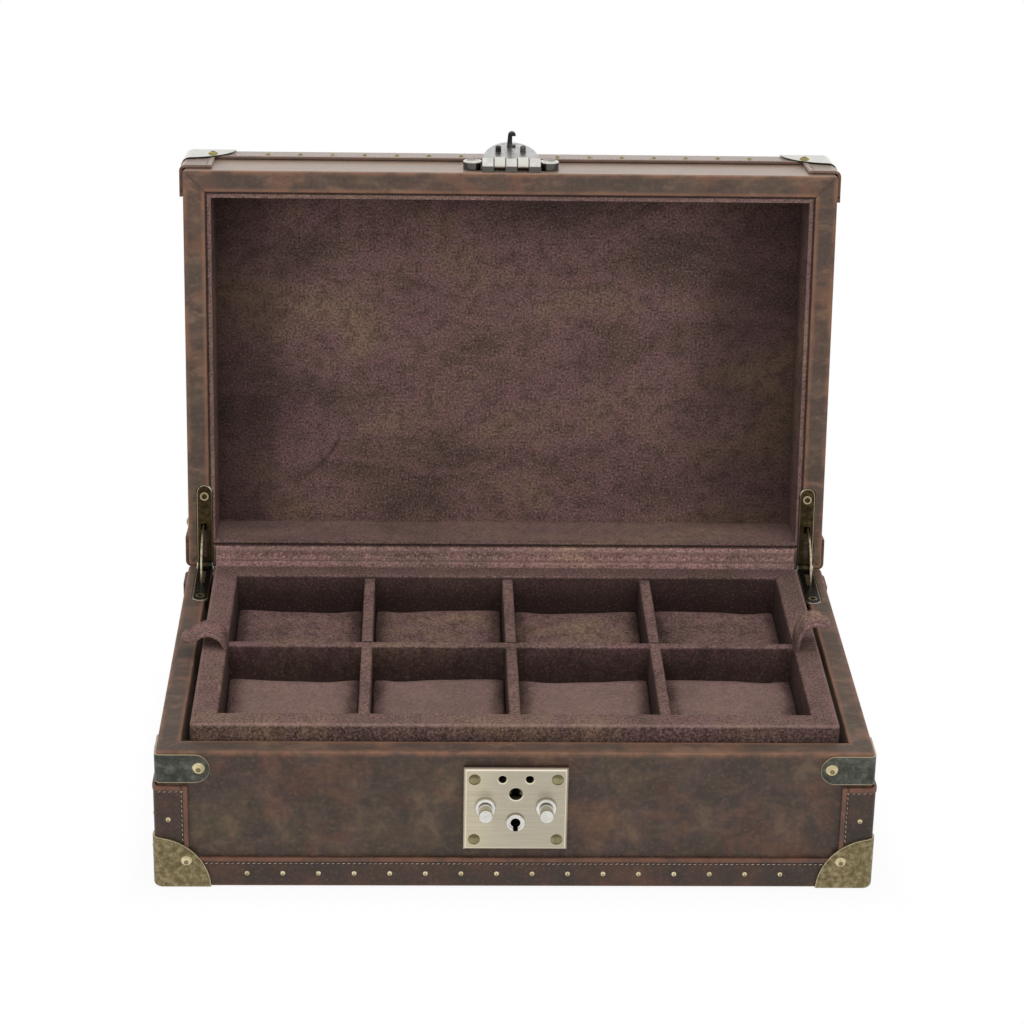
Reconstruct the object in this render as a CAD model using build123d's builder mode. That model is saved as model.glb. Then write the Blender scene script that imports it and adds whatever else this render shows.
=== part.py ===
from build123d import *
from math import cos, sin, radians
import os

os.makedirs("parts", exist_ok=True)

# Driving dimensions, in millimetres. Origin: bottom centre of the base. Front at -Y, up +Z.
body_width = 320.0
body_depth = 201.0
base_height = 68.0
lid_height = 46.0
open_angle = 96.8
closing_gap = 0.18
corner_radius = 2.0

# Walls: outer leather, board, inner leather
leather = 1.3
wall_board = 8.5
facing = 0.8
rim_rounding = 0.9
bottom_cover_thickness = 1.3
floor_board = 6.0
floor_pad_thickness = 1.5
top_board = 7.0

# Linings
ledge_thickness = 7.0
lid_lining = 2.9
lid_lining_setback = 0.6
lid_panel = 1.7

# Leather trim over the edges
trim = 1.6
binding_width = 15.3
lid_binding_top_width = 15.3
corner_strip_width = 13.8
front_strip_below_rim = 16.7
strip_rim_gap = 4.0

# Corner metalwork
cap_thickness = 0.9
cap_reach = 26.0
cap_rivet_diameter = 5.1
cap_rivet_from_corner = 12.6
cap_rivet_height = 13.0
cap_rivet_dome = 1.3
cap_rivet_bite = 1.2
bracket_thickness = 0.8
bracket_height = 14.0
bracket_below_rim = 1.2
bracket_reach = 23.9
bracket_rivet_diameter = 5.8
bracket_rivet_from_corner = 19.0
bracket_rivet_dome = 1.5
bracket_rivet_bite = 1.1
rivet_shank = 2.0
nail_diameter = 2.4
nail_dome = 0.7
nail_shank = 1.0
nail_stop = 0.1
nail_pitch = 16.05
nail_height = 7.2
front_nails = 16
side_nails = 8
corner_nail_below_rim = 33.5
corner_nail_inset = 5.0

# Hinges
leaf_width = 8.0
leaf_length = 42.0
leaf_thickness = 1.2
leaf_sink = 0.15
leaf_from_side = 8.2
leaf_clearance = 0.3
leaf_screw_at = 36.0
leaf_screw_head = 4.4
leaf_screw_shank = 2.2
leaf_screw_length = 10.0
screw_slot_depth = 0.7
leaf_bed = 0.1
leaf_bevel = 0.36
knuckle_radius = 2.2
knuckle_clearance = 0.35
knuckle_gap = 0.1
hinge_pin_diameter = 2.0
hinge_pin_play = 0.04
slot_width = 3.0
slot_offset = 0.5
slot_start = 4.2
stay_radius = 20.0
stay_width = 3.0
stay_thickness = 0.9
stay_play = 0.4
stay_overrun = 2.5
stay_pocket_overrun = 3.0
stay_pocket_start = 4.0
gusset_thickness = 0.8
gusset_sink = 0.1
gusset_side_gap = 1.2
gusset_end_gap = 0.3
gusset_back_inset = 0.8
gusset_front_inset = 0.2
cut_over = 1.0
board_joint = 0.1

# Lock plate and lock
plate_width = 46.6
plate_height = 41.3
plate_centre_below_rim = 26.8
plate_thickness = 3.5
plate_bevel = 1.0
plate_rivet_diameter = 5.4
plate_rivet_x = 18.5
plate_rivet_z = 15.1
plate_rivet_dish = 0.5
pin_hole_diameter = 3.6
hook_hole_diameter = 6.0
hole_clearance = 0.35
button_x = 13.6
button_below_rim = 25.6
button_diameter = 6.2
button_reach = 9.2
button_travel = 3.0
button_collar_diameter = 9.5
button_collar_height = 2.2
button_collar_rounding = 1.0
button_rounding = 0.5
button_shoulder = 0.8
shoulder_depth = 1.6
stem_end_gap = 0.4
stem_diameter = 3.0
running_fit = 0.05
spring_wire = 0.5
spring_coils = 4
spring_play = 0.35
spring_stop_gap = 0.3
key_below_rim = 33.0
key_collar_diameter = 8.5
key_collar_height = 1.5
key_collar_rounding = 0.6
key_plug_rise = 0.9
keyhole_depth = 2.0
cam_length = 8.0
cam_width = 4.0
cam_thickness = 1.5
key_plug_diameter = 6.0
keyhole_diameter = 4.2
keyhole_slot = 2.2
keyhole_slot_drop = 4.0
case_width = 40.0
case_height = 36.0
case_depth = 9.0
case_wall = 0.8
jaw_thickness = 1.4
jaw_height = 5.0
jaw_length = 7.0
jaw_gap = 0.35
jaw_chamfer = 0.84

# Hasp
hasp_axis_above_seam = 4.35
hasp_axis_out = 4.0
hasp_open_angle = 169.5
hasp_length = 29.9
hasp_half_width = 13.8
hasp_thickness = 2.0
hasp_inner_offset = 0.3
hasp_pin_x = 6.1
hasp_pin_at = 16.3
hasp_pin_diameter = 2.9
hasp_pin_length = 3.0
hook_at = 23.65
hook_length = 7.8
hook_bar = 2.1
hook_plate = 1.6
hook_lean = 0.15
hook_foot = 0.5
hook_foot_height = 0.9
tooth_low = 5.6
tooth_reach = 2.6
tooth_depth = 0.7
tooth_gap = 0.3
hasp_pin_rounding = 0.87
hasp_straight = 4.4
hasp_leaf_width = 47.0
ear_diameter = 9.4
ear_thickness = 4.6
ear_rounding = 0.9
ear_tie_width = 5.6
ear_above_seam = 10.0
hasp_leaf_thickness = 1.4
leaf_knuckle_radius = 2.5
hasp_knuckle_radius = 3.1
hasp_knuckle_span = 28.4
hasp_pin_rod = 1.8
ear_screw_head = 5.4
ear_screw_shank = 2.6
ear_screw_length = 10.0
ear_screw_sink = 0.5
ear_screw_cone = 1.6
ear_screw_room = 0.4
ear_screw_slot = 0.7

# Tray
tray_gap = 3.6
tray_rise = 6.4
tray_height = 32.0
tray_rail = 12.0
tray_rounding = 1.5
tray_corner_radius = 2.0
tray_floor_thickness = 2.5
divider_thickness = 5.5
divider_drop = 1.5
divider_rounding = 1.3
tray_columns = 4
pad_clearance = 0.5
pad_height = 12.5
pad_sections = [(0.0, 1.5, 3.0), (0.25, 0.0, 3.0), (0.7, 0.0, 3.0), (0.93, 2.0, 3.0), (1.0, 6.0, 5.0)]
tab_width = 15.0
tab_thickness = 2.0
tab_y = -3.0
tab_inset = 10.4
tab_lift = 1.3
left_tab_rise = [(0.0, 0.0), (2.6, 4.4), (7.8, 6.4), (13.5, 4.0), (20.4, 1.2)]
right_tab_rise = [(0.0, 0.0), (0.7, 6.2), (4.0, 11.6), (9.4, 12.8), (15.4, 10.2)]

# Sizes that follow from the ones above
half_width = body_width / 2
half_depth = body_depth / 2
rim = leather + wall_board + facing
board_out_x = half_width - leather
board_out_y = half_depth - leather
board_in_x = board_out_x - wall_board
board_in_y = board_out_y - wall_board
inside_x = board_in_x - facing
inside_y = board_in_y - facing
base_skin_bottom = cap_thickness
base_board_top = base_height - leather
base_floor_top = bottom_cover_thickness + floor_board
lid_board_top = lid_height - leather
lid_inner_top = leather + top_board
lid_panel_top = lid_inner_top + lid_panel
lean = radians(open_angle - 90.0)
tray_x = inside_x - tray_gap
tray_y = inside_y - tray_gap
tray_top = base_height + tray_rise
tray_bottom = tray_top - tray_height
leaf_x = half_width - leaf_from_side
slot_x = leaf_x + slot_offset
plate_centre_height = base_height - plate_centre_below_rim
button_height = base_height - button_below_rim
key_height = base_height - key_below_rim
front_strip_top = base_height - front_strip_below_rim
corner_nail_height = base_height - corner_nail_below_rim

# Frames: the base stands on its bottom, the open lid is described as if laid on its outer top
hinge_point = Vector(0, half_depth, base_height)
lid_up = Vector(0, sin(lean), cos(lean))
lid_out = Vector(0, cos(lean), -sin(lean))
base_frame = Plane.XY
lid_frame = Plane(
    origin=hinge_point + lid_up * half_depth + lid_out * lid_height,
    x_dir=(1, 0, 0),
    z_dir=-lid_out,
)
lid_middle = Plane(origin=lid_frame.origin, x_dir=(1, 0, 0), z_dir=lid_up)


def raised(frame, height):
    """The frame's own plane, moved up by a height."""
    return frame.offset(height)


def finish(part, name):
    """Label a finished piece and write it."""
    part.label = name
    export_step(part, f"parts/{name}.step")


def ring(frame, low, high, inner, outer, radii=(0.0, 0.0), mode=Mode.ADD):
    """A rectangular ring of the part being built, between two half sizes and two heights."""
    with BuildSketch(raised(frame, low)) as outline:
        if radii[1] > 0:
            RectangleRounded(2 * outer[0], 2 * outer[1], radii[1])
        else:
            Rectangle(2 * outer[0], 2 * outer[1])
        if radii[0] > 0:
            RectangleRounded(2 * inner[0], 2 * inner[1], radii[0], mode=Mode.SUBTRACT)
        else:
            Rectangle(2 * inner[0], 2 * inner[1], mode=Mode.SUBTRACT)
    extrude(outline.sketch, amount=high - low, mode=mode)


def block(frame, low, high, x_range, y_range, mode=Mode.ADD):
    """A plain block of the part being built, between two heights and four sides of a frame."""
    middle = ((x_range[0] + x_range[1]) / 2, (y_range[0] + y_range[1]) / 2)
    with BuildSketch(raised(frame, low)) as outline:
        with Locations(middle):
            Rectangle(x_range[1] - x_range[0], y_range[1] - y_range[0])
    extrude(outline.sketch, amount=high - low, mode=mode)


def domed_stud(place, head_radius, dome, shank_radius, shank):
    """A rivet or nail: a domed head on the plane, its shank below it."""
    bulge = (head_radius ** 2 + dome ** 2) / (2 * dome)
    with BuildPart() as stud:
        with BuildSketch(Plane.XZ):
            with BuildLine():
                Line((0, dome), (0, -shank))
                Line((0, -shank), (shank_radius, -shank))
                Line((shank_radius, -shank), (shank_radius, 0))
                Line((shank_radius, 0), (head_radius, 0))
                RadiusArc((head_radius, 0), (0, dome), -bulge)
            make_face()
        revolve(axis=Axis.Z)
    return place.location * stud.part


def side_plane(frame, side, along, height, proud):
    """A plane on one of the four outer faces of a box frame, at a place along it."""
    normals = {"front": (0, -1), "back": (0, 1), "left": (-1, 0), "right": (1, 0)}
    across = normals[side]
    if across[0] == 0:
        point = Vector(along, across[1] * (half_depth + proud), height)
    else:
        point = Vector(across[0] * (half_width + proud), along, height)
    origin = frame.from_local_coords(point)
    normal = frame.from_local_coords(point + Vector(across[0], across[1], 0)) - origin
    return Plane(origin=origin, z_dir=normal)


def hinge_cutter(frame, rim_height, back, x_side):
    """Room for one hinge leaf, its knuckle and the pocket under its slot."""
    front = -back
    depth = leaf_thickness + leaf_sink + leaf_bed
    hinge_edge = back * half_depth
    far = hinge_edge + front * leaf_length
    centre_x = x_side * leaf_x
    half = leaf_width / 2 + leaf_clearance
    with BuildPart() as cutter:
        with BuildSketch(raised(frame, rim_height - depth)):
            with Locations((centre_x, hinge_edge + front * (leaf_length / 2 - leaf_width / 4))):
                Rectangle(2 * half, leaf_length - leaf_width / 2)
            with Locations((centre_x, far - front * leaf_width / 2)):
                Circle(half)
        extrude(amount=depth + cut_over)
        with Locations(frame.location * Location((centre_x, hinge_edge, rim_height))):
            Cylinder(
                knuckle_radius + knuckle_clearance,
                leaf_width + 2 * leaf_clearance,
                rotation=(0, 90, 0),
            )
    return cutter.part


def stay_pocket(frame, rim_height, back, x_side):
    """The curved pocket in a side board that takes the swinging stay."""
    inner = stay_radius - stay_width / 2 - stay_play
    outer = stay_radius + stay_width / 2 + stay_play
    reach = open_angle / 2 + stay_overrun + stay_pocket_overrun
    origin = frame.from_local_coords(
        Vector(x_side * slot_x - slot_width / 2, back * half_depth, rim_height)
    )
    toward = frame.from_local_coords(
        Vector(x_side * slot_x - slot_width / 2, 0, rim_height)
    ) - origin
    plane = Plane(origin=origin, x_dir=toward, z_dir=(1, 0, 0))
    down = frame.from_local_coords(Vector(0, 0, 0)) - frame.from_local_coords(Vector(0, 0, 1))
    turn = 1 if plane.y_dir.dot(down) > 0 else -1
    angle = radians(reach) * turn
    over = radians(-stay_pocket_start) * turn
    with BuildPart() as pocket:
        with BuildSketch(plane):
            with BuildLine():
                ThreePointArc(
                    (outer * cos(over), outer * sin(over)),
                    (outer * cos(angle / 2), outer * sin(angle / 2)),
                    (outer * cos(angle), outer * sin(angle)),
                )
                Line((outer * cos(angle), outer * sin(angle)), (inner * cos(angle), inner * sin(angle)))
                ThreePointArc(
                    (inner * cos(angle), inner * sin(angle)),
                    (inner * cos(angle / 2), inner * sin(angle / 2)),
                    (inner * cos(over), inner * sin(over)),
                )
                Line((inner * cos(over), inner * sin(over)), (outer * cos(over), outer * sin(over)))
            make_face()
        extrude(amount=slot_width)
    return pocket.part


def leaf_screw(frame, rim_height, back, x_side, slotted):
    """A countersunk screw at the far end of a hinge leaf, with its cross recess or as plain room."""
    place = frame.from_local_coords(
        Vector(x_side * leaf_x, back * (half_depth - leaf_screw_at), rim_height - leaf_sink)
    )
    head = leaf_screw_head / 2
    shank = leaf_screw_shank / 2
    cone = leaf_thickness * 0.9
    with BuildPart() as screw:
        with BuildSketch(Plane.XZ):
            Polygon(
                (0, 0), (head, 0), (shank, -cone), (shank, -leaf_screw_length), (0, -leaf_screw_length),
                align=None,
            )
        revolve(axis=Axis.Z)
        if slotted:
            with BuildSketch(Plane.XY):
                Rectangle(leaf_screw_head * 0.6, leaf_screw_head * 0.16)
                Rectangle(leaf_screw_head * 0.16, leaf_screw_head * 0.6)
            extrude(amount=-screw_slot_depth, mode=Mode.SUBTRACT)
    spot = Plane(origin=place, x_dir=(1, 0, 0), z_dir=frame.z_dir)
    return spot.location * screw.part


def total(parts):
    """Several pieces together, as one compound of separate solids."""
    with BuildPart() as group:
        add(parts)
    return group.part


# Base: boards and leather

base_hinge_cutters = [hinge_cutter(base_frame, base_height, 1, side) for side in (-1, 1)]
base_pockets = [stay_pocket(base_frame, base_height, 1, side) for side in (-1, 1)]
base_screw_holes = [leaf_screw(base_frame, base_height, 1, side, False) for side in (-1, 1)]
gusset_half = leaf_x - leaf_width / 2 - gusset_side_gap
gusset_recess = gusset_thickness + gusset_sink
with BuildPart() as base_gusset_room:
    block(base_frame, base_height - gusset_recess, base_height + cut_over, (-gusset_half, gusset_half),
          (inside_y - cut_over, half_depth + cut_over))
case_low = plate_centre_height - case_height / 2
case_top = plate_centre_height + case_height / 2
with BuildPart() as case_room:
    block(base_frame, case_low, case_top, (-case_width / 2, case_width / 2),
          (-half_depth - cut_over, -half_depth + case_depth))

with BuildPart() as base_front_board:
    block(base_frame, bottom_cover_thickness, base_board_top, (-board_out_x, board_out_x),
              (-board_out_y, -board_in_y))
    add(case_room.part, mode=Mode.SUBTRACT)
finish(base_front_board.part, "base_front_board")

with BuildPart() as base_back_board:
    block(base_frame, bottom_cover_thickness, base_board_top, (-board_out_x, board_out_x),
              (board_in_y, board_out_y))
    add([*base_hinge_cutters, *base_screw_holes], mode=Mode.SUBTRACT)
finish(base_back_board.part, "base_back_board")

for name, side in (("base_left_board", -1), ("base_right_board", 1)):
    low_x, high_x = sorted((side * board_in_x, side * board_out_x))
    with BuildPart() as side_board:
        block(base_frame, bottom_cover_thickness, base_board_top, (low_x, high_x),
                  (-board_in_y, board_in_y))
        add([*base_hinge_cutters, *base_pockets, *base_screw_holes], mode=Mode.SUBTRACT)
    finish(side_board.part, name)

with BuildPart() as base_floor_board:
    block(base_frame, bottom_cover_thickness, base_floor_top, (-board_in_x, board_in_x),
              (-board_in_y, board_in_y))
finish(base_floor_board.part, "base_floor_board")

with BuildPart() as base_bottom_cover:
    with BuildSketch(base_frame):
        Rectangle(2 * board_out_x, 2 * board_out_y)
    extrude(amount=bottom_cover_thickness)
    with BuildSketch(base_frame):
        with GridLocations(body_width, body_depth, 2, 2):
            Circle(cap_reach + leaf_clearance)
    extrude(amount=bottom_cover_thickness, mode=Mode.SUBTRACT)
finish(base_bottom_cover.part, "base_bottom_cover")

# Corner metalwork of one open box: a cap is a rounded shell cut by a ball at its corner


def corner_caps(frame, middle, under_face):
    """The four caps over the outer corners of a box, at its closed end."""
    out = trim + cap_thickness
    reach_up = under_face + cap_reach + cap_thickness
    with BuildPart() as outer:
        with BuildSketch(raised(frame, under_face - cap_thickness)):
            RectangleRounded(2 * (half_width + out), 2 * (half_depth + out), corner_radius + out)
        extrude(amount=reach_up - under_face + cap_thickness)
        fillet(outer.faces().sort_by(Axis(frame.origin, frame.z_dir))[0].edges(), 2 * cap_thickness)
    with BuildPart() as cap:
        add(outer.part)
        with BuildSketch(raised(frame, under_face)):
            RectangleRounded(2 * (half_width + trim), 2 * (half_depth + trim), corner_radius + trim)
        extrude(amount=reach_up - under_face + cut_over, mode=Mode.SUBTRACT)
        corner = frame.from_local_coords(
            Vector(half_width + out, -half_depth - out, under_face - cap_thickness)
        )
        with Locations(Location(corner)):
            Sphere(cap_reach, mode=Mode.INTERSECT)
        mirror(about=Plane.YZ)
        mirror(about=middle)
    return cap.part


def cap_rivets(frame, under_face):
    """Two domed rivets in each of the four caps."""
    height = under_face + cap_rivet_height
    proud = trim + cap_thickness
    cap_rivet_shank = cap_thickness + cap_rivet_bite
    studs = []
    for end in (-1, 1):
        for side in ("front", "back"):
            along = end * (half_width - cap_rivet_from_corner)
            place = side_plane(frame, side, along, height, proud)
            studs.append(
                domed_stud(place, cap_rivet_diameter / 2, cap_rivet_dome, rivet_shank / 2, cap_rivet_shank)
            )
        for side in ("left", "right"):
            along = end * (half_depth - cap_rivet_from_corner)
            place = side_plane(frame, side, along, height, proud)
            studs.append(
                domed_stud(place, cap_rivet_diameter / 2, cap_rivet_dome, rivet_shank / 2, cap_rivet_shank)
            )
    return studs


def nail(place):
    """One small domed nail."""
    return domed_stud(place, nail_diameter / 2, nail_dome, nail_shank / 2, trim - nail_stop)


def edge_nails(frame, height):
    """The row of small nails in the leather binding, on all four sides."""
    studs = []
    for side in ("front", "back"):
        for step in range(front_nails):
            along = (step - (front_nails - 1) / 2) * nail_pitch
            place = side_plane(frame, side, along, height, trim)
            studs.append(nail(place))
    for side in ("left", "right"):
        for step in range(side_nails):
            along = (step - (side_nails - 1) / 2) * nail_pitch
            place = side_plane(frame, side, along, height, trim)
            studs.append(nail(place))
    return studs


def corner_nails(frame, height):
    """One small nail in each face of the four corner strips."""
    studs = []
    for end in (-1, 1):
        for side in ("front", "back"):
            place = side_plane(frame, side, end * (half_width - corner_nail_inset), height, trim)
            studs.append(nail(place))
        for side in ("left", "right"):
            place = side_plane(frame, side, end * (half_depth - corner_nail_inset), height, trim)
            studs.append(nail(place))
    return studs


def corner_strips(frame, low, high, back_high):
    """Leather strips folded over the four upright corners; the rear pair may run higher."""
    inner = (half_width, half_depth)
    outer = (half_width + trim, half_depth + trim)
    radii = (corner_radius, corner_radius + trim)
    span = (-body_width, body_width)
    with BuildPart() as strips:
        ring(frame, low, back_high, inner, outer, radii)
        if back_high > high:
            block(frame, high, back_high, span, (-body_depth, 0), mode=Mode.SUBTRACT)
        along = half_width - corner_strip_width
        across = half_depth - corner_strip_width
        block(frame, low, back_high, (-along, along), (-body_depth, body_depth), mode=Mode.SUBTRACT)
        block(frame, low, back_high, span, (-across, across), mode=Mode.SUBTRACT)
    return strips.part


base_cap_rivets = cap_rivets(base_frame, base_skin_bottom)
bracket_middle = base_height - bracket_below_rim - bracket_height / 2
bracket_rivets = []
for end in (-1, 1):
    front_place = side_plane(
        base_frame, "front", end * (half_width - bracket_rivet_from_corner), bracket_middle, bracket_thickness
    )
    side_name = "left" if end < 0 else "right"
    side_place = side_plane(
        base_frame, side_name, -(half_depth - bracket_rivet_from_corner), bracket_middle, bracket_thickness
    )
    for place in (front_place, side_place):
        bracket_rivets.append(
            domed_stud(place, bracket_rivet_diameter / 2, bracket_rivet_dome, rivet_shank / 2,
                       bracket_thickness + bracket_rivet_bite)
        )
base_nail_studs = edge_nails(base_frame, nail_height) + corner_nails(base_frame, corner_nail_height)

with BuildPart() as base_leather_cover:
    with BuildSketch(raised(base_frame, base_skin_bottom)):
        RectangleRounded(body_width, body_depth, corner_radius)
        Rectangle(2 * inside_x, 2 * inside_y, mode=Mode.SUBTRACT)
    extrude(amount=base_height - base_skin_bottom)
    rim_face = base_leather_cover.faces().filter_by(Axis.Z).sort_by(Axis.Z)[-1]
    fillet(rim_face.outer_wire().edges(), rim_rounding)
    rim_face = base_leather_cover.faces().filter_by(Axis.Z).sort_by(Axis.Z)[-1]
    fillet(rim_face.inner_wires()[0].edges(), facing * 0.75)
    ring(base_frame, base_skin_bottom, base_board_top, (board_in_x, board_in_y),
             (board_out_x, board_out_y), mode=Mode.SUBTRACT)
    block(base_frame, 0, base_floor_top, (-board_out_x, board_out_x), (-board_out_y, board_out_y),
          mode=Mode.SUBTRACT)
    add([*base_hinge_cutters, *base_pockets, *base_screw_holes, *bracket_rivets], mode=Mode.SUBTRACT)
    add(base_gusset_room.part, mode=Mode.SUBTRACT)
    add(case_room.part, mode=Mode.SUBTRACT)
finish(base_leather_cover.part, "base_leather_cover")

with BuildPart() as base_floor_pad:
    block(base_frame, base_floor_top, base_floor_top + floor_pad_thickness,
              (-inside_x, inside_x), (-inside_y, inside_y))
finish(base_floor_pad.part, "base_floor_pad")

ledge_low = base_floor_top + floor_pad_thickness
with BuildPart() as tray_ledges:
    for side in (-1, 1):
        low_y, high_y = sorted((side * inside_y, side * (inside_y - ledge_thickness)))
        block(base_frame, ledge_low, tray_bottom, (-inside_x, inside_x), (low_y, high_y))
    block(base_frame, ledge_low, tray_bottom, (-inside_x, -inside_x + ledge_thickness),
              (-inside_y + ledge_thickness + board_joint, inside_y - ledge_thickness - board_joint))
    block(base_frame, ledge_low, tray_bottom, (inside_x - ledge_thickness, inside_x),
              (-inside_y + ledge_thickness + board_joint, inside_y - ledge_thickness - board_joint))
finish(tray_ledges.part, "tray_ledges")

with BuildPart() as base_edge_binding:
    ring(base_frame, base_skin_bottom, binding_width, (half_width, half_depth),
             (half_width + trim, half_depth + trim), (corner_radius, corner_radius + trim))
    add([*base_nail_studs, *base_cap_rivets], mode=Mode.SUBTRACT)
finish(base_edge_binding.part, "base_edge_binding")

base_strips = corner_strips(base_frame, binding_width, front_strip_top, base_height - strip_rim_gap)
with BuildPart() as base_corner_strips:
    add(base_strips)
    add(base_nail_studs, mode=Mode.SUBTRACT)
finish(base_corner_strips.part, "base_corner_strips")

with BuildPart() as base_corner_brackets:
    pill = bracket_height / 2
    with BuildSketch(raised(base_frame, bracket_middle - pill)):
        RectangleRounded(body_width + 2 * bracket_thickness, body_depth + 2 * bracket_thickness,
                         corner_radius + bracket_thickness)
        RectangleRounded(body_width, body_depth, corner_radius, mode=Mode.SUBTRACT)
        with Locations((-bracket_reach + pill, 0)):
            Rectangle(2 * half_width, 2 * body_depth, mode=Mode.SUBTRACT)
        with Locations((0, bracket_reach - pill)):
            Rectangle(2 * body_width, 2 * half_depth, mode=Mode.SUBTRACT)
    extrude(amount=bracket_height)
    with BuildSketch(Plane(origin=(half_width - bracket_reach + pill, -half_depth, bracket_middle),
                           z_dir=(0, -1, 0))):
        Circle(pill)
    extrude(amount=bracket_thickness)
    with BuildSketch(Plane(origin=(half_width, -half_depth + bracket_reach - pill, bracket_middle),
                           z_dir=(1, 0, 0))):
        Circle(pill)
    extrude(amount=bracket_thickness)
    mirror(about=Plane.YZ)
    add(bracket_rivets, mode=Mode.SUBTRACT)
finish(base_corner_brackets.part, "base_corner_brackets")

base_caps = corner_caps(base_frame, Plane.XZ, base_skin_bottom)
with BuildPart() as base_corner_caps:
    add(base_caps)
    add(base_cap_rivets, mode=Mode.SUBTRACT)
finish(base_corner_caps.part, "base_corner_caps")

finish(total(bracket_rivets + base_cap_rivets), "base_corner_rivets")
finish(total(base_nail_studs), "base_nails")

# Lid: boards and leather, described as an open box lying on its outer top

lid_hinge_cutters = [hinge_cutter(lid_frame, lid_height, -1, side) for side in (-1, 1)]
lid_pockets = [stay_pocket(lid_frame, lid_height, -1, side) for side in (-1, 1)]
lid_screw_holes = [leaf_screw(lid_frame, lid_height, -1, side, False) for side in (-1, 1)]
with BuildPart() as lid_gusset_room:
    block(lid_frame, lid_height - gusset_recess, lid_height + cut_over, (-gusset_half, gusset_half),
          (-half_depth - cut_over, -inside_y + cut_over))

# Hasp leaf, screwed to the lid's front near the seam. Its own frame: x across, y away from
# the seam, z outwards from the lid's front face.
seam_front = lid_frame.from_local_coords(Vector(0, half_depth, lid_height))
hasp_seat = Plane(origin=seam_front, x_dir=(1, 0, 0), z_dir=lid_up)
away = hasp_seat.from_local_coords(Vector(0, 1, 0)) - hasp_seat.origin
if away.dot(lid_out) < 0:
    hasp_seat = Plane(origin=seam_front, x_dir=(-1, 0, 0), z_dir=lid_up)
ear_x = (hasp_leaf_width - ear_diameter) / 2
axis_spot = Vector(0, hasp_axis_above_seam, hasp_axis_out)
knuckle_width = (hasp_knuckle_span - 4 * knuckle_gap) / 5
knuckle_step = knuckle_width + knuckle_gap
leaf_knuckles = [-2 * knuckle_step, 0.0, 2 * knuckle_step]
hasp_knuckles = [-knuckle_step, knuckle_step]


def ear_screw_profile(length):
    """The outline of one countersunk ear screw."""
    shank = ear_screw_shank / 2
    Polygon(
        (0, 0), (ear_screw_head / 2, 0), (shank, -ear_screw_cone), (shank, -length), (0, -length),
        align=None,
    )


ear_screws = []
ear_screw_rooms = []
for side in (-1, 1):
    spot = Plane(
        origin=hasp_seat.from_local_coords(
            Vector(side * ear_x, ear_above_seam, ear_thickness - ear_screw_sink)
        ),
        x_dir=hasp_seat.x_dir,
        z_dir=lid_up,
    )
    with BuildPart() as room:
        with BuildSketch(Plane.XZ):
            ear_screw_profile(ear_screw_length)
        revolve(axis=Axis.Z)
        with BuildSketch(Plane.XY):
            Circle(ear_screw_head / 2 + ear_screw_room)
        extrude(amount=cut_over)
    ear_screw_rooms.append(spot.location * room.part)
    with BuildPart() as screw:
        with BuildSketch(Plane.XZ):
            ear_screw_profile(ear_screw_length)
        revolve(axis=Axis.Z)
        with BuildSketch(Plane.XY):
            Rectangle(ear_screw_head * 0.7, ear_screw_slot)
            Rectangle(ear_screw_slot, ear_screw_head * 0.7)
        extrude(amount=-screw_slot_depth, mode=Mode.SUBTRACT)
    ear_screws.append(spot.location * screw.part)
finish(total(ear_screws), "hasp_leaf_screws")

with BuildPart() as lid_front_board:
    block(lid_frame, leather, lid_board_top, (-board_out_x, board_out_x), (board_in_y, board_out_y))
    add(ear_screw_rooms, mode=Mode.SUBTRACT)
finish(lid_front_board.part, "lid_front_board")

with BuildPart() as lid_back_board:
    block(lid_frame, leather, lid_board_top, (-board_out_x, board_out_x),
              (-board_out_y, -board_in_y))
    add([*lid_hinge_cutters, *lid_screw_holes], mode=Mode.SUBTRACT)
finish(lid_back_board.part, "lid_back_board")

for name, side in (("lid_left_board", -1), ("lid_right_board", 1)):
    low_x, high_x = sorted((side * board_in_x, side * board_out_x))
    with BuildPart() as side_board:
        block(lid_frame, leather, lid_board_top, (low_x, high_x), (-board_in_y, board_in_y))
        add([*lid_hinge_cutters, *lid_pockets, *lid_screw_holes], mode=Mode.SUBTRACT)
    finish(side_board.part, name)

with BuildPart() as lid_top_board:
    block(lid_frame, leather, lid_inner_top, (-board_in_x, board_in_x), (-board_in_y, board_in_y))
finish(lid_top_board.part, "lid_top_board")

lid_cap_rivets = cap_rivets(lid_frame, -trim)
lid_nail_studs = edge_nails(lid_frame, nail_height)

with BuildPart() as lid_leather_cover:
    with BuildSketch(lid_frame):
        RectangleRounded(body_width, body_depth, corner_radius)
    extrude(amount=lid_height)
    block(lid_frame, lid_inner_top, lid_height + cut_over, (-inside_x, inside_x),
          (-inside_y, inside_y), mode=Mode.SUBTRACT)
    rim_face = lid_leather_cover.faces().sort_by(Axis(lid_frame.origin, lid_frame.z_dir))[-1]
    fillet(rim_face.outer_wire().edges(), rim_rounding)
    rim_face = lid_leather_cover.faces().sort_by(Axis(lid_frame.origin, lid_frame.z_dir))[-1]
    fillet(rim_face.inner_wires()[0].edges(), facing * 0.75)
    ring(lid_frame, leather, lid_board_top, (board_in_x, board_in_y), (board_out_x, board_out_y),
         mode=Mode.SUBTRACT)
    block(lid_frame, leather, lid_inner_top, (-board_in_x - cut_over, board_in_x + cut_over),
          (-board_in_y - cut_over, board_in_y + cut_over), mode=Mode.SUBTRACT)
    add([*lid_hinge_cutters, *lid_pockets, *lid_screw_holes, *ear_screw_rooms], mode=Mode.SUBTRACT)
    add(lid_gusset_room.part, mode=Mode.SUBTRACT)
finish(lid_leather_cover.part, "lid_leather_cover")

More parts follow.
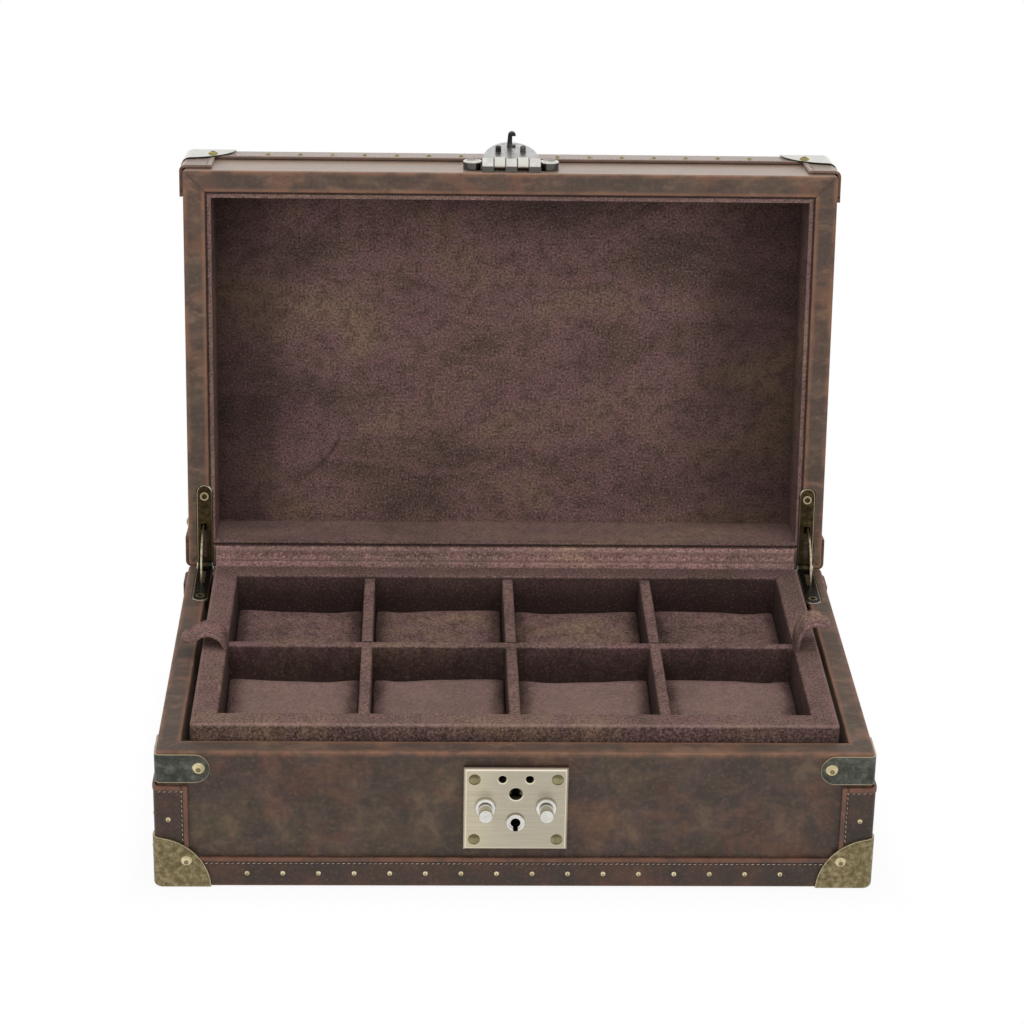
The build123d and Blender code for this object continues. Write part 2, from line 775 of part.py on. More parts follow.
lining_top = lid_height - lid_lining_setback
lining_in_x = inside_x - lid_lining
lining_in_y = inside_y - lid_lining
with BuildPart() as lid_lining_boards:
    for side in (-1, 1):
        low_y, high_y = sorted((side * inside_y, side * lining_in_y))
        block(lid_frame, lid_panel_top, lining_top, (-inside_x, inside_x), (low_y, high_y))
        low_x, high_x = sorted((side * inside_x, side * lining_in_x))
        block(lid_frame, lid_panel_top, lining_top, (low_x, high_x),
                  (-lining_in_y + board_joint, lining_in_y - board_joint))
    add(lid_hinge_cutters, mode=Mode.SUBTRACT)
finish(lid_lining_boards.part, "lid_lining_boards")

with BuildPart() as lid_lining_panel:
    block(lid_frame, lid_inner_top, lid_panel_top, (-inside_x, inside_x), (-inside_y, inside_y))
finish(lid_lining_panel.part, "lid_lining_panel")

with BuildPart() as lid_edge_binding:
    with BuildSketch(raised(lid_frame, -trim)):
        RectangleRounded(2 * (half_width + trim), 2 * (half_depth + trim), corner_radius + trim)
        Rectangle(2 * (half_width - lid_binding_top_width), 2 * (half_depth - lid_binding_top_width),
                  mode=Mode.SUBTRACT)
    extrude(amount=trim)
    ring(lid_frame, 0, binding_width, (half_width, half_depth),
             (half_width + trim, half_depth + trim), (corner_radius, corner_radius + trim))
    add([*lid_nail_studs, *lid_cap_rivets], mode=Mode.SUBTRACT)
finish(lid_edge_binding.part, "lid_edge_binding")

lid_strip_top = lid_height - strip_rim_gap
finish(corner_strips(lid_frame, binding_width, lid_strip_top, lid_strip_top), "lid_corner_strips")

lid_caps = corner_caps(lid_frame, lid_middle, -trim)
with BuildPart() as lid_corner_caps:
    add(lid_caps)
    add(lid_cap_rivets, mode=Mode.SUBTRACT)
finish(lid_corner_caps.part, "lid_corner_caps")
finish(total(lid_cap_rivets), "lid_corner_rivets")
finish(total(lid_nail_studs), "lid_nails")

# The suede strip over the lid's back rim, between the hinges
with BuildPart() as hinge_gusset:
    block(lid_frame, lid_height - gusset_recess, lid_height - gusset_sink,
          (-gusset_half + gusset_end_gap, gusset_half - gusset_end_gap),
          (-half_depth + gusset_back_inset, -inside_y - gusset_front_inset))
finish(hinge_gusset.part, "hinge_gusset")

# Hinges: a leaf on each rim, three knuckles on a pin, and a curved stay between the slots


def hinge_leaf(frame, rim_height, back, x_side, outer_knuckles):
    """One leaf: slotted plate with a round end, screw hole and its share of the knuckles."""
    front = -back
    hinge_edge = back * half_depth
    centre_x = x_side * leaf_x
    third = (leaf_width - 2 * knuckle_gap) / 3
    low = rim_height - leaf_sink - leaf_thickness
    middle = [(centre_x, third)]
    ends = [(centre_x - third - knuckle_gap, third), (centre_x + third + knuckle_gap, third)]
    own, other = (ends, middle) if outer_knuckles else (middle, ends)
    room = knuckle_radius + knuckle_gap
    screw_room = leaf_screw(frame, rim_height, back, x_side, False)
    with BuildPart() as leaf:
        with BuildSketch(raised(frame, low)):
            with Locations((centre_x, hinge_edge + front * (leaf_length - leaf_width / 2) / 2)):
                Rectangle(leaf_width, leaf_length - leaf_width / 2)
            with Locations((centre_x, hinge_edge + front * (leaf_length - leaf_width / 2))):
                Circle(leaf_width / 2)
        extrude(amount=leaf_thickness)
        top = leaf.faces().filter_by(frame).sort_by(Axis(frame.origin, frame.z_dir))[-1]
        chamfer(top.edges(), leaf_bevel)
        slot_end = stay_radius + stay_width / 2 + stay_play
        with BuildSketch(raised(frame, low)):
            with Locations((x_side * slot_x, hinge_edge + front * (slot_start + slot_end) / 2)):
                Rectangle(slot_width, slot_end - slot_start)
        extrude(amount=leaf_thickness, mode=Mode.SUBTRACT)
        for place, width in other:
            with Locations(frame.location * Location((place, hinge_edge, rim_height))):
                Box(width + 2 * knuckle_gap, 2 * room, 3 * room, mode=Mode.SUBTRACT)
        for place, width in own:
            with Locations(frame.location * Location((place, hinge_edge, rim_height))):
                Cylinder(knuckle_radius, width, rotation=(0, 90, 0))
        play = 0.0 if outer_knuckles else hinge_pin_play
        with Locations(frame.location * Location((centre_x, hinge_edge, rim_height))):
            Cylinder(hinge_pin_diameter / 2 + play, 2 * leaf_width, rotation=(0, 90, 0), mode=Mode.SUBTRACT)
        add(screw_room, mode=Mode.SUBTRACT)
    return leaf.part


finish(total([hinge_leaf(base_frame, base_height, 1, side, True) for side in (-1, 1)]),
       "hinge_base_leaves")
finish(total([hinge_leaf(lid_frame, lid_height, -1, side, False) for side in (-1, 1)]),
       "hinge_lid_leaves")
finish(total([leaf_screw(base_frame, base_height, 1, side, True) for side in (-1, 1)]),
       "hinge_base_screws")
finish(total([leaf_screw(lid_frame, lid_height, -1, side, True) for side in (-1, 1)]),
       "hinge_lid_screws")

with BuildPart() as hinge_pins:
    with Locations((-leaf_x, half_depth, base_height), (leaf_x, half_depth, base_height)):
        Cylinder(hinge_pin_diameter / 2, leaf_width, rotation=(0, 90, 0))
finish(hinge_pins.part, "hinge_pins")

stay_low = 180.0 - open_angle - stay_overrun
stay_high = 180.0 + stay_overrun
stay_mid = (stay_low + stay_high) / 2
stay_inner = stay_radius - stay_width / 2
stay_outer = stay_radius + stay_width / 2


def on_arc(radius, degrees):
    """A point of the stay's arc, measured from the rearward direction."""
    return (radius * cos(radians(degrees)), radius * sin(radians(degrees)))


with BuildPart() as stay_arcs:
    for side in (-1, 1):
        stay_plane = Plane(
            origin=(side * slot_x - stay_thickness / 2, half_depth, base_height),
            x_dir=(0, 1, 0),
            z_dir=(1, 0, 0),
        )
        with BuildSketch(stay_plane):
            with BuildLine():
                ThreePointArc(on_arc(stay_outer, stay_low), on_arc(stay_outer, stay_mid),
                              on_arc(stay_outer, stay_high))
                Line(on_arc(stay_outer, stay_high), on_arc(stay_inner, stay_high))
                ThreePointArc(on_arc(stay_inner, stay_high), on_arc(stay_inner, stay_mid),
                              on_arc(stay_inner, stay_low))
                Line(on_arc(stay_inner, stay_low), on_arc(stay_outer, stay_low))
            make_face()
        extrude(amount=stay_thickness)
finish(stay_arcs.part, "stay_arcs")

# Lock plate on the base's front, and the lock behind it

front_face = Plane(origin=(0, -half_depth, 0), x_dir=(1, 0, 0), z_dir=(0, -1, 0))
hook_height = base_height + closing_gap + hasp_axis_above_seam - hook_at
pin_height = base_height + closing_gap + hasp_axis_above_seam - hasp_pin_at
plate_rivet_places = [
    (x * plate_rivet_x, plate_centre_height + z * plate_rivet_z) for x in (-1, 1) for z in (-1, 1)
]
button_places = [(-button_x, button_height), (button_x, button_height)]

with BuildPart() as lock_plate:
    with BuildSketch(front_face):
        with Locations((0, plate_centre_height)):
            Rectangle(plate_width, plate_height)
    extrude(amount=plate_thickness)
    chamfer(lock_plate.faces().sort_by(Axis.Y)[0].edges(), plate_bevel)
    with BuildSketch(front_face):
        with Locations(*plate_rivet_places):
            Circle(plate_rivet_diameter / 2)
        with Locations((-hasp_pin_x, pin_height), (hasp_pin_x, pin_height)):
            Circle(pin_hole_diameter / 2)
        with Locations((0, hook_height)):
            Circle(hook_hole_diameter / 2)
        with Locations(*button_places):
            Circle(button_diameter / 2 + running_fit)
        with Locations((0, key_height)):
            Circle(key_plug_diameter / 2 + running_fit)
    extrude(amount=plate_thickness, mode=Mode.SUBTRACT)
    mouths = lock_plate.edges().filter_by(GeomType.CIRCLE).group_by(Axis.Y)[0]
    chamfer(mouths.filter_by(lambda edge: abs(edge.radius - pin_hole_diameter / 2) < 0.01), hole_clearance)
    mouths = lock_plate.edges().filter_by(GeomType.CIRCLE).group_by(Axis.Y)[0]
    chamfer(mouths.filter_by(lambda edge: abs(edge.radius - hook_hole_diameter / 2) < 0.01), hole_clearance)
finish(lock_plate.part, "lock_plate")

with BuildPart() as lock_plate_rivets:
    with BuildSketch(front_face):
        with Locations(*plate_rivet_places):
            Circle(plate_rivet_diameter / 2)
    extrude(amount=plate_thickness - plate_rivet_dish)
finish(lock_plate_rivets.part, "lock_plate_rivets")

case_plane = front_face.offset(-case_depth)
with BuildPart() as lock_case:
    with BuildSketch(case_plane):
        with Locations((0, plate_centre_height)):
            Rectangle(case_width, case_height)
    extrude(amount=case_depth)
    with BuildSketch(case_plane.offset(case_wall)):
        with Locations((0, plate_centre_height)):
            Rectangle(case_width - 2 * case_wall, case_height - 2 * case_wall)
    extrude(amount=case_depth, mode=Mode.SUBTRACT)
finish(lock_case.part, "lock_case")


def collar(place, outer, bore, height, rounding):
    """A turned ring on the lock plate's face."""
    with BuildPart() as piece:
        with BuildSketch(front_face.offset(plate_thickness)):
            with Locations(place):
                Circle(outer)
                Circle(bore, mode=Mode.SUBTRACT)
        extrude(amount=height)
        rims = piece.edges().filter_by(GeomType.CIRCLE).group_by(Axis.Y)[0]
        fillet(rims.filter_by(lambda edge: abs(edge.radius - outer) < 0.01), rounding)
    return piece.part


lock_collars = [
    collar(place, button_collar_diameter / 2, button_diameter / 2 + running_fit, button_collar_height,
           button_collar_rounding)
    for place in button_places
]
lock_collars.append(
    collar((0, key_height), key_collar_diameter / 2, key_plug_diameter / 2 + running_fit,
           key_collar_height, key_collar_rounding)
)
finish(total(lock_collars), "lock_collars")

stem_reach = case_depth - case_wall - button_travel - stem_end_gap
for name, place in (("button_left", button_places[0]), ("button_right", button_places[1])):
    with BuildPart() as button:
        with BuildSketch(front_face):
            with Locations(place):
                Circle(button_diameter / 2)
        extrude(amount=plate_thickness + button_reach)
        tip = button.faces().sort_by(Axis.Y)[0]
        fillet(tip.edges(), button_rounding)
        with BuildSketch(front_face):
            with Locations(place):
                Circle(button_diameter / 2 + button_shoulder)
        extrude(amount=-shoulder_depth)
        with BuildSketch(front_face.offset(-shoulder_depth)):
            with Locations(place):
                Circle(stem_diameter / 2)
        extrude(amount=-(stem_reach - shoulder_depth))
    finish(button.part, name)

# Springs behind the button shoulders: one coil each around the stem, drawn as when it is pressed
spring_low = case_wall - case_depth + spring_wire
spring_high = -shoulder_depth - button_travel - spring_wire / 2 - spring_stop_gap
spring_radius = stem_diameter / 2 + spring_wire / 2 + spring_play
spring_pitch = (spring_high - spring_low) / spring_coils
with BuildPart() as button_springs:
    for place in button_places:
        start_plane = front_face.offset(spring_low)
        centre = start_plane.from_local_coords(Vector(place[0], place[1], 0))
        with BuildLine() as coil:
            Helix(spring_pitch, spring_pitch * spring_coils, spring_radius, center=centre,
                  direction=(0, -1, 0))
        with BuildSketch(Plane(origin=coil.line @ 0, z_dir=coil.line % 0)):
            Circle(spring_wire / 2)
        sweep(path=coil.line, is_frenet=True)
finish(button_springs.part, "button_springs")

# The key plug turns in the plate, and carries the cam behind it
with BuildPart() as key_plug:
    with BuildSketch(front_face.offset(-case_depth / 2)):
        with Locations((0, key_height)):
            Circle(key_plug_diameter / 2)
    extrude(amount=case_depth / 2 + plate_thickness + key_plug_rise)
    with BuildSketch(front_face.offset(plate_thickness + key_plug_rise)):
        with Locations((0, key_height)):
            Circle(keyhole_diameter / 2)
        with Locations((0, key_height - keyhole_slot_drop / 2)):
            Rectangle(keyhole_slot, keyhole_slot_drop)
    extrude(amount=-(plate_thickness + key_plug_rise + keyhole_depth), mode=Mode.SUBTRACT)
finish(key_plug.part, "key_plug")

with BuildPart() as lock_cam:
    with BuildSketch(front_face.offset(-case_depth / 2 - cam_thickness)):
        with Locations((0, key_height)):
            Circle(key_plug_diameter / 2)
        with Locations((0, key_height - cam_length / 2)):
            Rectangle(cam_width, cam_length)
        with Locations((0, key_height - cam_length)):
            Circle(cam_width / 2)
    extrude(amount=cam_thickness)
finish(lock_cam.part, "lock_cam")

# Two latch jaws close on the hook from either side, behind the lock plate
bar_left = -hook_bar / 2 - hook_lean
bar_right = hook_bar / 2 - hook_lean
jaw_back = hasp_inner_offset + tooth_low - tooth_gap
hasp_plane_y = half_depth + hasp_axis_out
jaw_front_y = -(hasp_plane_y - jaw_back) - jaw_thickness
for name, side, start in (
    ("latch_jaw_left", -1, abs(bar_left) + jaw_gap),
    ("latch_jaw_right", 1, abs(bar_right) + jaw_gap),
):
    with BuildPart() as jaw:
        with BuildSketch(Plane(origin=(0, jaw_front_y, 0), x_dir=(1, 0, 0), z_dir=(0, -1, 0))):
            with Locations((side * (start + jaw_length / 2), hook_height)):
                Rectangle(jaw_length, jaw_height)
        extrude(amount=-jaw_thickness)
        nose = jaw.faces().filter_by(Axis.X).sort_by(Axis.X)[0 if side > 0 else -1]
        chamfer(nose.edges().filter_by(Axis.Z).sort_by(Axis.Y)[0], jaw_chamfer)
    finish(jaw.part, name)

# Hasp leaf: screwed ears, a thin plate, and three knuckles
leaf_plate_high = ear_above_seam + ear_tie_width / 2
leaf_plate_low = hasp_axis_above_seam - leaf_knuckle_radius
with BuildPart() as hasp_leaf:
    with BuildSketch(hasp_seat):
        with Locations((-ear_x, ear_above_seam), (ear_x, ear_above_seam)):
            Circle(ear_diameter / 2)
    extrude(amount=ear_thickness)
    tops = hasp_leaf.faces().sort_by(Axis(hasp_seat.origin, hasp_seat.z_dir))[-2:]
    fillet(tops.edges(), ear_rounding)
    with BuildSketch(hasp_seat):
        with Locations((0, ear_above_seam)):
            Rectangle(2 * ear_x, ear_tie_width)
        with Locations((0, (leaf_plate_high + leaf_plate_low) / 2)):
            Rectangle(hasp_knuckle_span, leaf_plate_high - leaf_plate_low)
    extrude(amount=hasp_leaf_thickness)
    with BuildSketch(hasp_seat):
        for place in leaf_knuckles:
            with Locations((place, hasp_axis_above_seam)):
                Rectangle(knuckle_width, 2 * leaf_knuckle_radius)
    extrude(amount=hasp_axis_out)
    with BuildSketch(hasp_seat):
        for place in hasp_knuckles:
            with Locations((place, hasp_axis_above_seam)):
                Rectangle(knuckle_width + 2 * knuckle_gap, 2 * hasp_knuckle_radius + cut_over)
    extrude(amount=2 * hasp_axis_out, mode=Mode.SUBTRACT)
    for place in leaf_knuckles:
        with Locations(hasp_seat.location * Location(Vector(place, 0, 0) + axis_spot)):
            Cylinder(leaf_knuckle_radius, knuckle_width, rotation=(0, 90, 0))
    with Locations(hasp_seat.location * Location(axis_spot)):
        Cylinder(hasp_pin_rod / 2, 2 * hasp_knuckle_span, rotation=(0, 90, 0), mode=Mode.SUBTRACT)
    add(ear_screw_rooms, mode=Mode.SUBTRACT)
finish(hasp_leaf.part, "hasp_leaf")

with BuildPart() as hasp_knuckle_pin:
    with Locations(hasp_seat.location * Location(axis_spot)):
        Cylinder(hasp_pin_rod / 2, hasp_knuckle_span, rotation=(0, 90, 0))
finish(hasp_knuckle_pin.part, "hasp_knuckle_pin")

# The hasp's own frame: origin on its pin, y along the plate to its tip, z out of its inner face
swing = radians(180.0 - hasp_open_angle)
hasp_origin = hasp_seat.from_local_coords(axis_spot)
hasp_along = lid_out * cos(swing) + lid_up * sin(swing)
hasp_normal = lid_up * cos(swing) - lid_out * sin(swing)
hasp_x = hasp_along.cross(hasp_normal)
hasp_frame = Plane(origin=hasp_origin, x_dir=hasp_x, z_dir=hasp_normal)
plate_bottom = hasp_inner_offset - hasp_thickness
straight = hasp_straight

with BuildPart() as hasp_plate:
    with BuildSketch(hasp_frame.offset(plate_bottom)):
        with Locations((0, straight)):
            Ellipse(hasp_half_width, hasp_length - straight)
        with Locations((0, straight - hasp_length / 2)):
            Rectangle(3 * hasp_half_width, hasp_length, mode=Mode.SUBTRACT)
        with Locations(*[(place, straight / 2) for place in hasp_knuckles]):
            Rectangle(knuckle_width, straight)
    extrude(amount=hasp_thickness)
    for place in hasp_knuckles:
        with Locations(hasp_frame.location * Location((place, 0, 0))):
            Cylinder(hasp_knuckle_radius, knuckle_width, rotation=(0, 90, 0))
    with Locations(hasp_frame.location):
        Cylinder(hasp_pin_rod / 2 + hinge_pin_play, 2 * hasp_knuckle_span, rotation=(0, 90, 0),
                 mode=Mode.SUBTRACT)
finish(hasp_plate.part, "hasp_plate")

with BuildPart() as hasp_pins:
    with BuildSketch(hasp_frame.offset(hasp_inner_offset)):
        with Locations((-hasp_pin_x, hasp_pin_at), (hasp_pin_x, hasp_pin_at)):
            Circle(hasp_pin_diameter / 2)
    extrude(amount=hasp_pin_length)
    ends = hasp_pins.faces().sort_by(Axis(hasp_frame.origin, hasp_frame.z_dir))[-2:]
    fillet(ends.edges(), hasp_pin_rounding)
finish(hasp_pins.part, "hasp_pins")

# The hook is a thin plate across the hasp: an upright bar with a tooth on one side
hook_plane = Plane(
    origin=hasp_frame.from_local_coords(Vector(0, hook_at - hook_plate / 2, hasp_inner_offset)),
    x_dir=(1, 0, 0),
    z_dir=hasp_along,
)
upright = 1 if hook_plane.y_dir.dot(hasp_normal) > 0 else -1
tooth_top = tooth_low + tooth_depth
tooth_middle = (tooth_reach + bar_left) / 2
with BuildPart() as hasp_hook:
    with BuildSketch(hook_plane):
        with BuildLine():
            Polyline(
                (bar_left - hook_foot, 0), (tooth_reach, 0), (tooth_reach, upright * hook_foot_height),
                (bar_right, upright * hook_foot_height), (bar_right, upright * tooth_low),
                (tooth_reach, upright * tooth_low), (tooth_reach, upright * tooth_top),
            )
            ThreePointArc((tooth_reach, upright * tooth_top), (tooth_middle, upright * hook_length),
                          (bar_left, upright * tooth_top))
            Line((bar_left, upright * tooth_top), (bar_left - hook_foot, 0))
        make_face()
    extrude(amount=hook_plate)
finish(hasp_hook.part, "hasp_hook")

# Tray: a frame of four rails, its floor, half-lapped dividers and eight pads
inner_x = tray_x - tray_rail
inner_y = tray_y - tray_rail
divider_low = tray_bottom + tray_floor_thickness
divider_top = tray_top - divider_drop
divider_lap = (divider_low + divider_top) / 2
column_width = (2 * inner_x - (tray_columns - 1) * divider_thickness) / tray_columns
row_width = (2 * inner_y - divider_thickness) / 2
column_centres = [
    (index - (tray_columns - 1) / 2) * (column_width + divider_thickness) for index in range(tray_columns)
]
cross_places = [
    (index - (tray_columns - 2) / 2) * (column_width + divider_thickness)
    for index in range(tray_columns - 1)
]

with BuildPart() as tray_frame:
    with BuildSketch(Plane.XY.offset(tray_bottom)):
        RectangleRounded(2 * tray_x, 2 * tray_y, tray_corner_radius)
        Rectangle(2 * inner_x, 2 * inner_y, mode=Mode.SUBTRACT)
    extrude(amount=tray_height)
    rail_top = tray_frame.faces().sort_by(Axis.Z)[-1]
    fillet(rail_top.edges(), tray_rounding)
finish(tray_frame.part, "tray_frame")

with BuildPart() as tray_floor:
    with BuildSketch(Plane.XY.offset(tray_bottom)):
        Rectangle(2 * inner_x, 2 * inner_y)
    extrude(amount=tray_floor_thickness)
finish(tray_floor.part, "tray_floor")

with BuildPart() as tray_long_divider:
    with BuildSketch(Plane.XY.offset(divider_low)):
        Rectangle(2 * inner_x, divider_thickness)
    extrude(amount=divider_top - divider_low)
    ridge = tray_long_divider.faces().sort_by(Axis.Z)[-1]
    fillet(ridge.edges().filter_by(Axis.X), divider_rounding)
    with BuildSketch(Plane.XY.offset(divider_low)):
        with Locations(*[(place, 0) for place in cross_places]):
            Rectangle(divider_thickness, divider_thickness)
    extrude(amount=divider_lap - divider_low, mode=Mode.SUBTRACT)
finish(tray_long_divider.part, "tray_long_divider")

with BuildPart() as tray_cross_dividers:
    with BuildSketch(Plane.XY.offset(divider_low)):
        with Locations(*[(place, 0) for place in cross_places]):
            Rectangle(divider_thickness, 2 * inner_y)
    extrude(amount=divider_top - divider_low)
    ridges = tray_cross_dividers.faces().filter_by(Axis.Z).group_by(Axis.Z)[-1]
    fillet(ridges.edges().filter_by(Axis.Y), divider_rounding)
    with BuildSketch(Plane.XY.offset(divider_lap)):
        Rectangle(2 * inner_x, divider_thickness)
    extrude(amount=divider_top - divider_lap + 1, mode=Mode.SUBTRACT)
finish(tray_cross_dividers.part, "tray_cross_dividers")

pad_low = divider_low


def pad(centre_x, centre_y):
    """One crowned pad: full at its middle height, drawn in at its foot and top edge."""
    half_x = column_width / 2 - pad_clearance
    half_y = row_width / 2 - pad_clearance
    with BuildPart() as cushion:
        for share, pull, radius in pad_sections:
            with BuildSketch(Plane(origin=(centre_x, centre_y, pad_low + share * pad_height))):
                RectangleRounded(2 * (half_x - pull), 2 * (half_y - pull), radius)
        loft(ruled=True)
    return cushion.part


row_centre = (row_width + divider_thickness) / 2
finish(total([pad(x, y) for x in column_centres for y in (-row_centre, row_centre)]), "tray_pads")


def pull_tab(side, rise):
    """A soft strap: a curved strip over the rail, rounded at its free end."""
    root = Plane(
        origin=(side * (tray_x - tab_inset), tab_y, tray_top + tab_lift),
        x_dir=(side, 0, 0),
        z_dir=(0, -side, 0),
    )
    straight_run = rise[-1][0] + tab_thickness / 2 - tab_width / 2
    with BuildPart() as strap:
        with BuildSketch(root):
            with BuildLine():
                centre_line = Spline(rise)
            trace(centre_line, tab_thickness)
        extrude(amount=tab_width / 2, both=True)
        with BuildSketch(Plane(origin=root.origin - Vector(0, 0, tab_width))):
            with Locations((side * straight_run / 2, 0)):
                Rectangle(straight_run + 2 * tab_thickness, tab_width)
            with Locations((side * straight_run, 0)):
                Circle(tab_width / 2)
        extrude(amount=4 * tab_width, mode=Mode.INTERSECT)
    return strap.part


finish(pull_tab(-1, left_tab_rise), "pull_tab_left")
finish(pull_tab(1, right_tab_rise), "pull_tab_right")
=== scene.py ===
# %% [markdown]
# # A leather watch case with a lift-out suede tray
# The case is a box of fibre boards, covered outside with waxed leather and inside with suede.
# Its boards, metal corners, hinges, hasp and lock arrive finished, in metres, in one fixed frame.
# This lesson dresses them: it gives every piece its finish, and models by hand what is soft or
# sewn, which are the cushions, the pull tabs, the gusset, the leather trim and the stitches.

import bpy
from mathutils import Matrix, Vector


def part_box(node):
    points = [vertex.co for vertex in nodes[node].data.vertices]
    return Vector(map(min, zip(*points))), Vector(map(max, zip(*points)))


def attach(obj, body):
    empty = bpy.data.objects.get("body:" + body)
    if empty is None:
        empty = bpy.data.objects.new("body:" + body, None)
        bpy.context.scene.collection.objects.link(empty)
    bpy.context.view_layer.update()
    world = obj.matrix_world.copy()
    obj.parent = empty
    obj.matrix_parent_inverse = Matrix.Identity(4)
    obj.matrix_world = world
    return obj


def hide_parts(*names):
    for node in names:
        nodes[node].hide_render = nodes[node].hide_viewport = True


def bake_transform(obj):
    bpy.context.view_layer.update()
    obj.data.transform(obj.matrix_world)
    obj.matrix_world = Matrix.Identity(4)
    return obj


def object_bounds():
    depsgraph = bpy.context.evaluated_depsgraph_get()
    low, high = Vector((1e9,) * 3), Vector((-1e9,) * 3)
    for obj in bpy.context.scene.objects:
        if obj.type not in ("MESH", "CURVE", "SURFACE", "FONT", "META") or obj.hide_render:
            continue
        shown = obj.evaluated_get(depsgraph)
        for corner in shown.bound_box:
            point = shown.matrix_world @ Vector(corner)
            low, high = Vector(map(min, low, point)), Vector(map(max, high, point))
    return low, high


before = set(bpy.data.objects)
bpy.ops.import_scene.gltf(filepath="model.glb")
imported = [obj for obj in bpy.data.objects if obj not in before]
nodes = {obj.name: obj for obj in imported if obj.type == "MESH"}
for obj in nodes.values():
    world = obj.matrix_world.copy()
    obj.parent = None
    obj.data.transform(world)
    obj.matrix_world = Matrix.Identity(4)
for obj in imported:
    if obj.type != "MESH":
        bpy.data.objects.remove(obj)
cad_box = [list(corner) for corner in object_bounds()]

import math

import bmesh
import bpy
from mathutils import Matrix, Vector, noise

print("nodes", len(nodes), "box", [[round(c, 4) for c in corner] for corner in cad_box])

# %% [markdown]
# ## Sizes that the soft pieces share with the boards
# All lengths here are in millimetres, as a case maker would measure them, and `mm` turns them
# into metres. The open lid leans back, so it has a frame of its own: x along the front, y from
# the hinge towards the lid's front, z from the outer top down to the rim.

# %% Sizes and the lid's own frame
mm = 0.001
half_width, half_depth = 160.0, 100.5
tray_half_width, tray_half_depth, tray_top = 145.8, 86.3, 73.8
base_height, lid_height = 68.0, 46.0
rim = 10.6
lean = math.radians(6.8)
lid_up = Vector((0, math.sin(lean), math.cos(lean)))
lid_out = Vector((0, math.cos(lean), -math.sin(lean)))
hinge_point = Vector((0, half_depth, base_height))
lid_origin = hinge_point + lid_up * half_depth + lid_out * lid_height


def in_base(x, y, z):
    """A point of the base, from millimetres to metres."""
    return Vector((x, y, z)) * mm


def in_lid(x, y, z):
    """A point given in the open lid's own frame, in metres of the whole case."""
    return (lid_origin + Vector((x, 0, 0)) + lid_up * y - lid_out * z) * mm


print("lid rim middle", [round(c, 4) for c in in_lid(0, 0, lid_height)])

# %% [markdown]
# ## The camera
# A product shot is taken with a long lens from a little above, so that the lid stands almost
# upright in the picture and the tray shows. The place and the turn below give that view.

# %% Camera
pitch, yaw, roll = math.radians(23.161), math.radians(1.895), math.radians(1.088)
camera_place = Vector((-42.5, -1262.0, 681.4))
focal_length, picture_width, sensor_width = 2950.9, 1024, 36.0
lens = bpy.data.cameras.new("product_camera")
lens.sensor_width = sensor_width
lens.lens = focal_length * sensor_width / picture_width
lens.clip_end = 50
camera = bpy.data.objects.new("product_camera", lens)
bpy.context.scene.collection.objects.link(camera)
camera.matrix_world = (
    Matrix.Translation(camera_place * mm) @ Matrix.Rotation(-yaw, 4, "Z")
    @ Matrix.Rotation(math.pi / 2 - pitch, 4, "X") @ Matrix.Rotation(roll, 4, "Z"))
bpy.context.scene.camera = camera
print("lens", round(lens.lens, 2), "mm")

# %% [markdown]
# ## Writing shader maths as Python
# A finish is a sum of masks: worn where the edge is near, dark where the patch noise is low. To
# write that as it is said, `Signal` wraps an output socket and answers to +, -, * and the rest
# by adding the Math node. Every other node comes from `Finish.node`.

# %% Signals and finishes


class Signal:
    """An output socket that can be used in a sum."""

    def __init__(self, finish, socket):
        self.finish, self.socket = finish, socket

    def math(self, operation, *terms):
        return self.finish.node("ShaderNodeMath", {"operation": operation},
                                dict(enumerate(terms)))

    def __add__(self, other):
        return self.math("ADD", self, other)

    def __sub__(self, other):
        return self.math("SUBTRACT", self, other)

    def __rsub__(self, other):
        return self.math("SUBTRACT", other, self)

    def __mul__(self, other):
        return self.math("MULTIPLY", self, other)

    def __pow__(self, other):
        return self.math("POWER", self, other)

    def __abs__(self):
        return self.math("ABSOLUTE", self)

    __radd__, __rmul__ = __add__, __mul__

    def least(self, other):
        return self.math("MINIMUM", self, other)

    def most(self, other):
        return self.math("MAXIMUM", self, other)

    def root(self):
        return self.math("SQRT", self)

    def rise(self, low, high):
        """0 below low, 1 above high, and a smooth step between; high may be the lower one."""
        ends = {"Value": self, "From Min": min(low, high), "From Max": max(low, high)}
        step = self.finish.node("ShaderNodeMapRange", {"interpolation_type": "SMOOTHSTEP"}, ends)
        return 1 - step if high < low else step


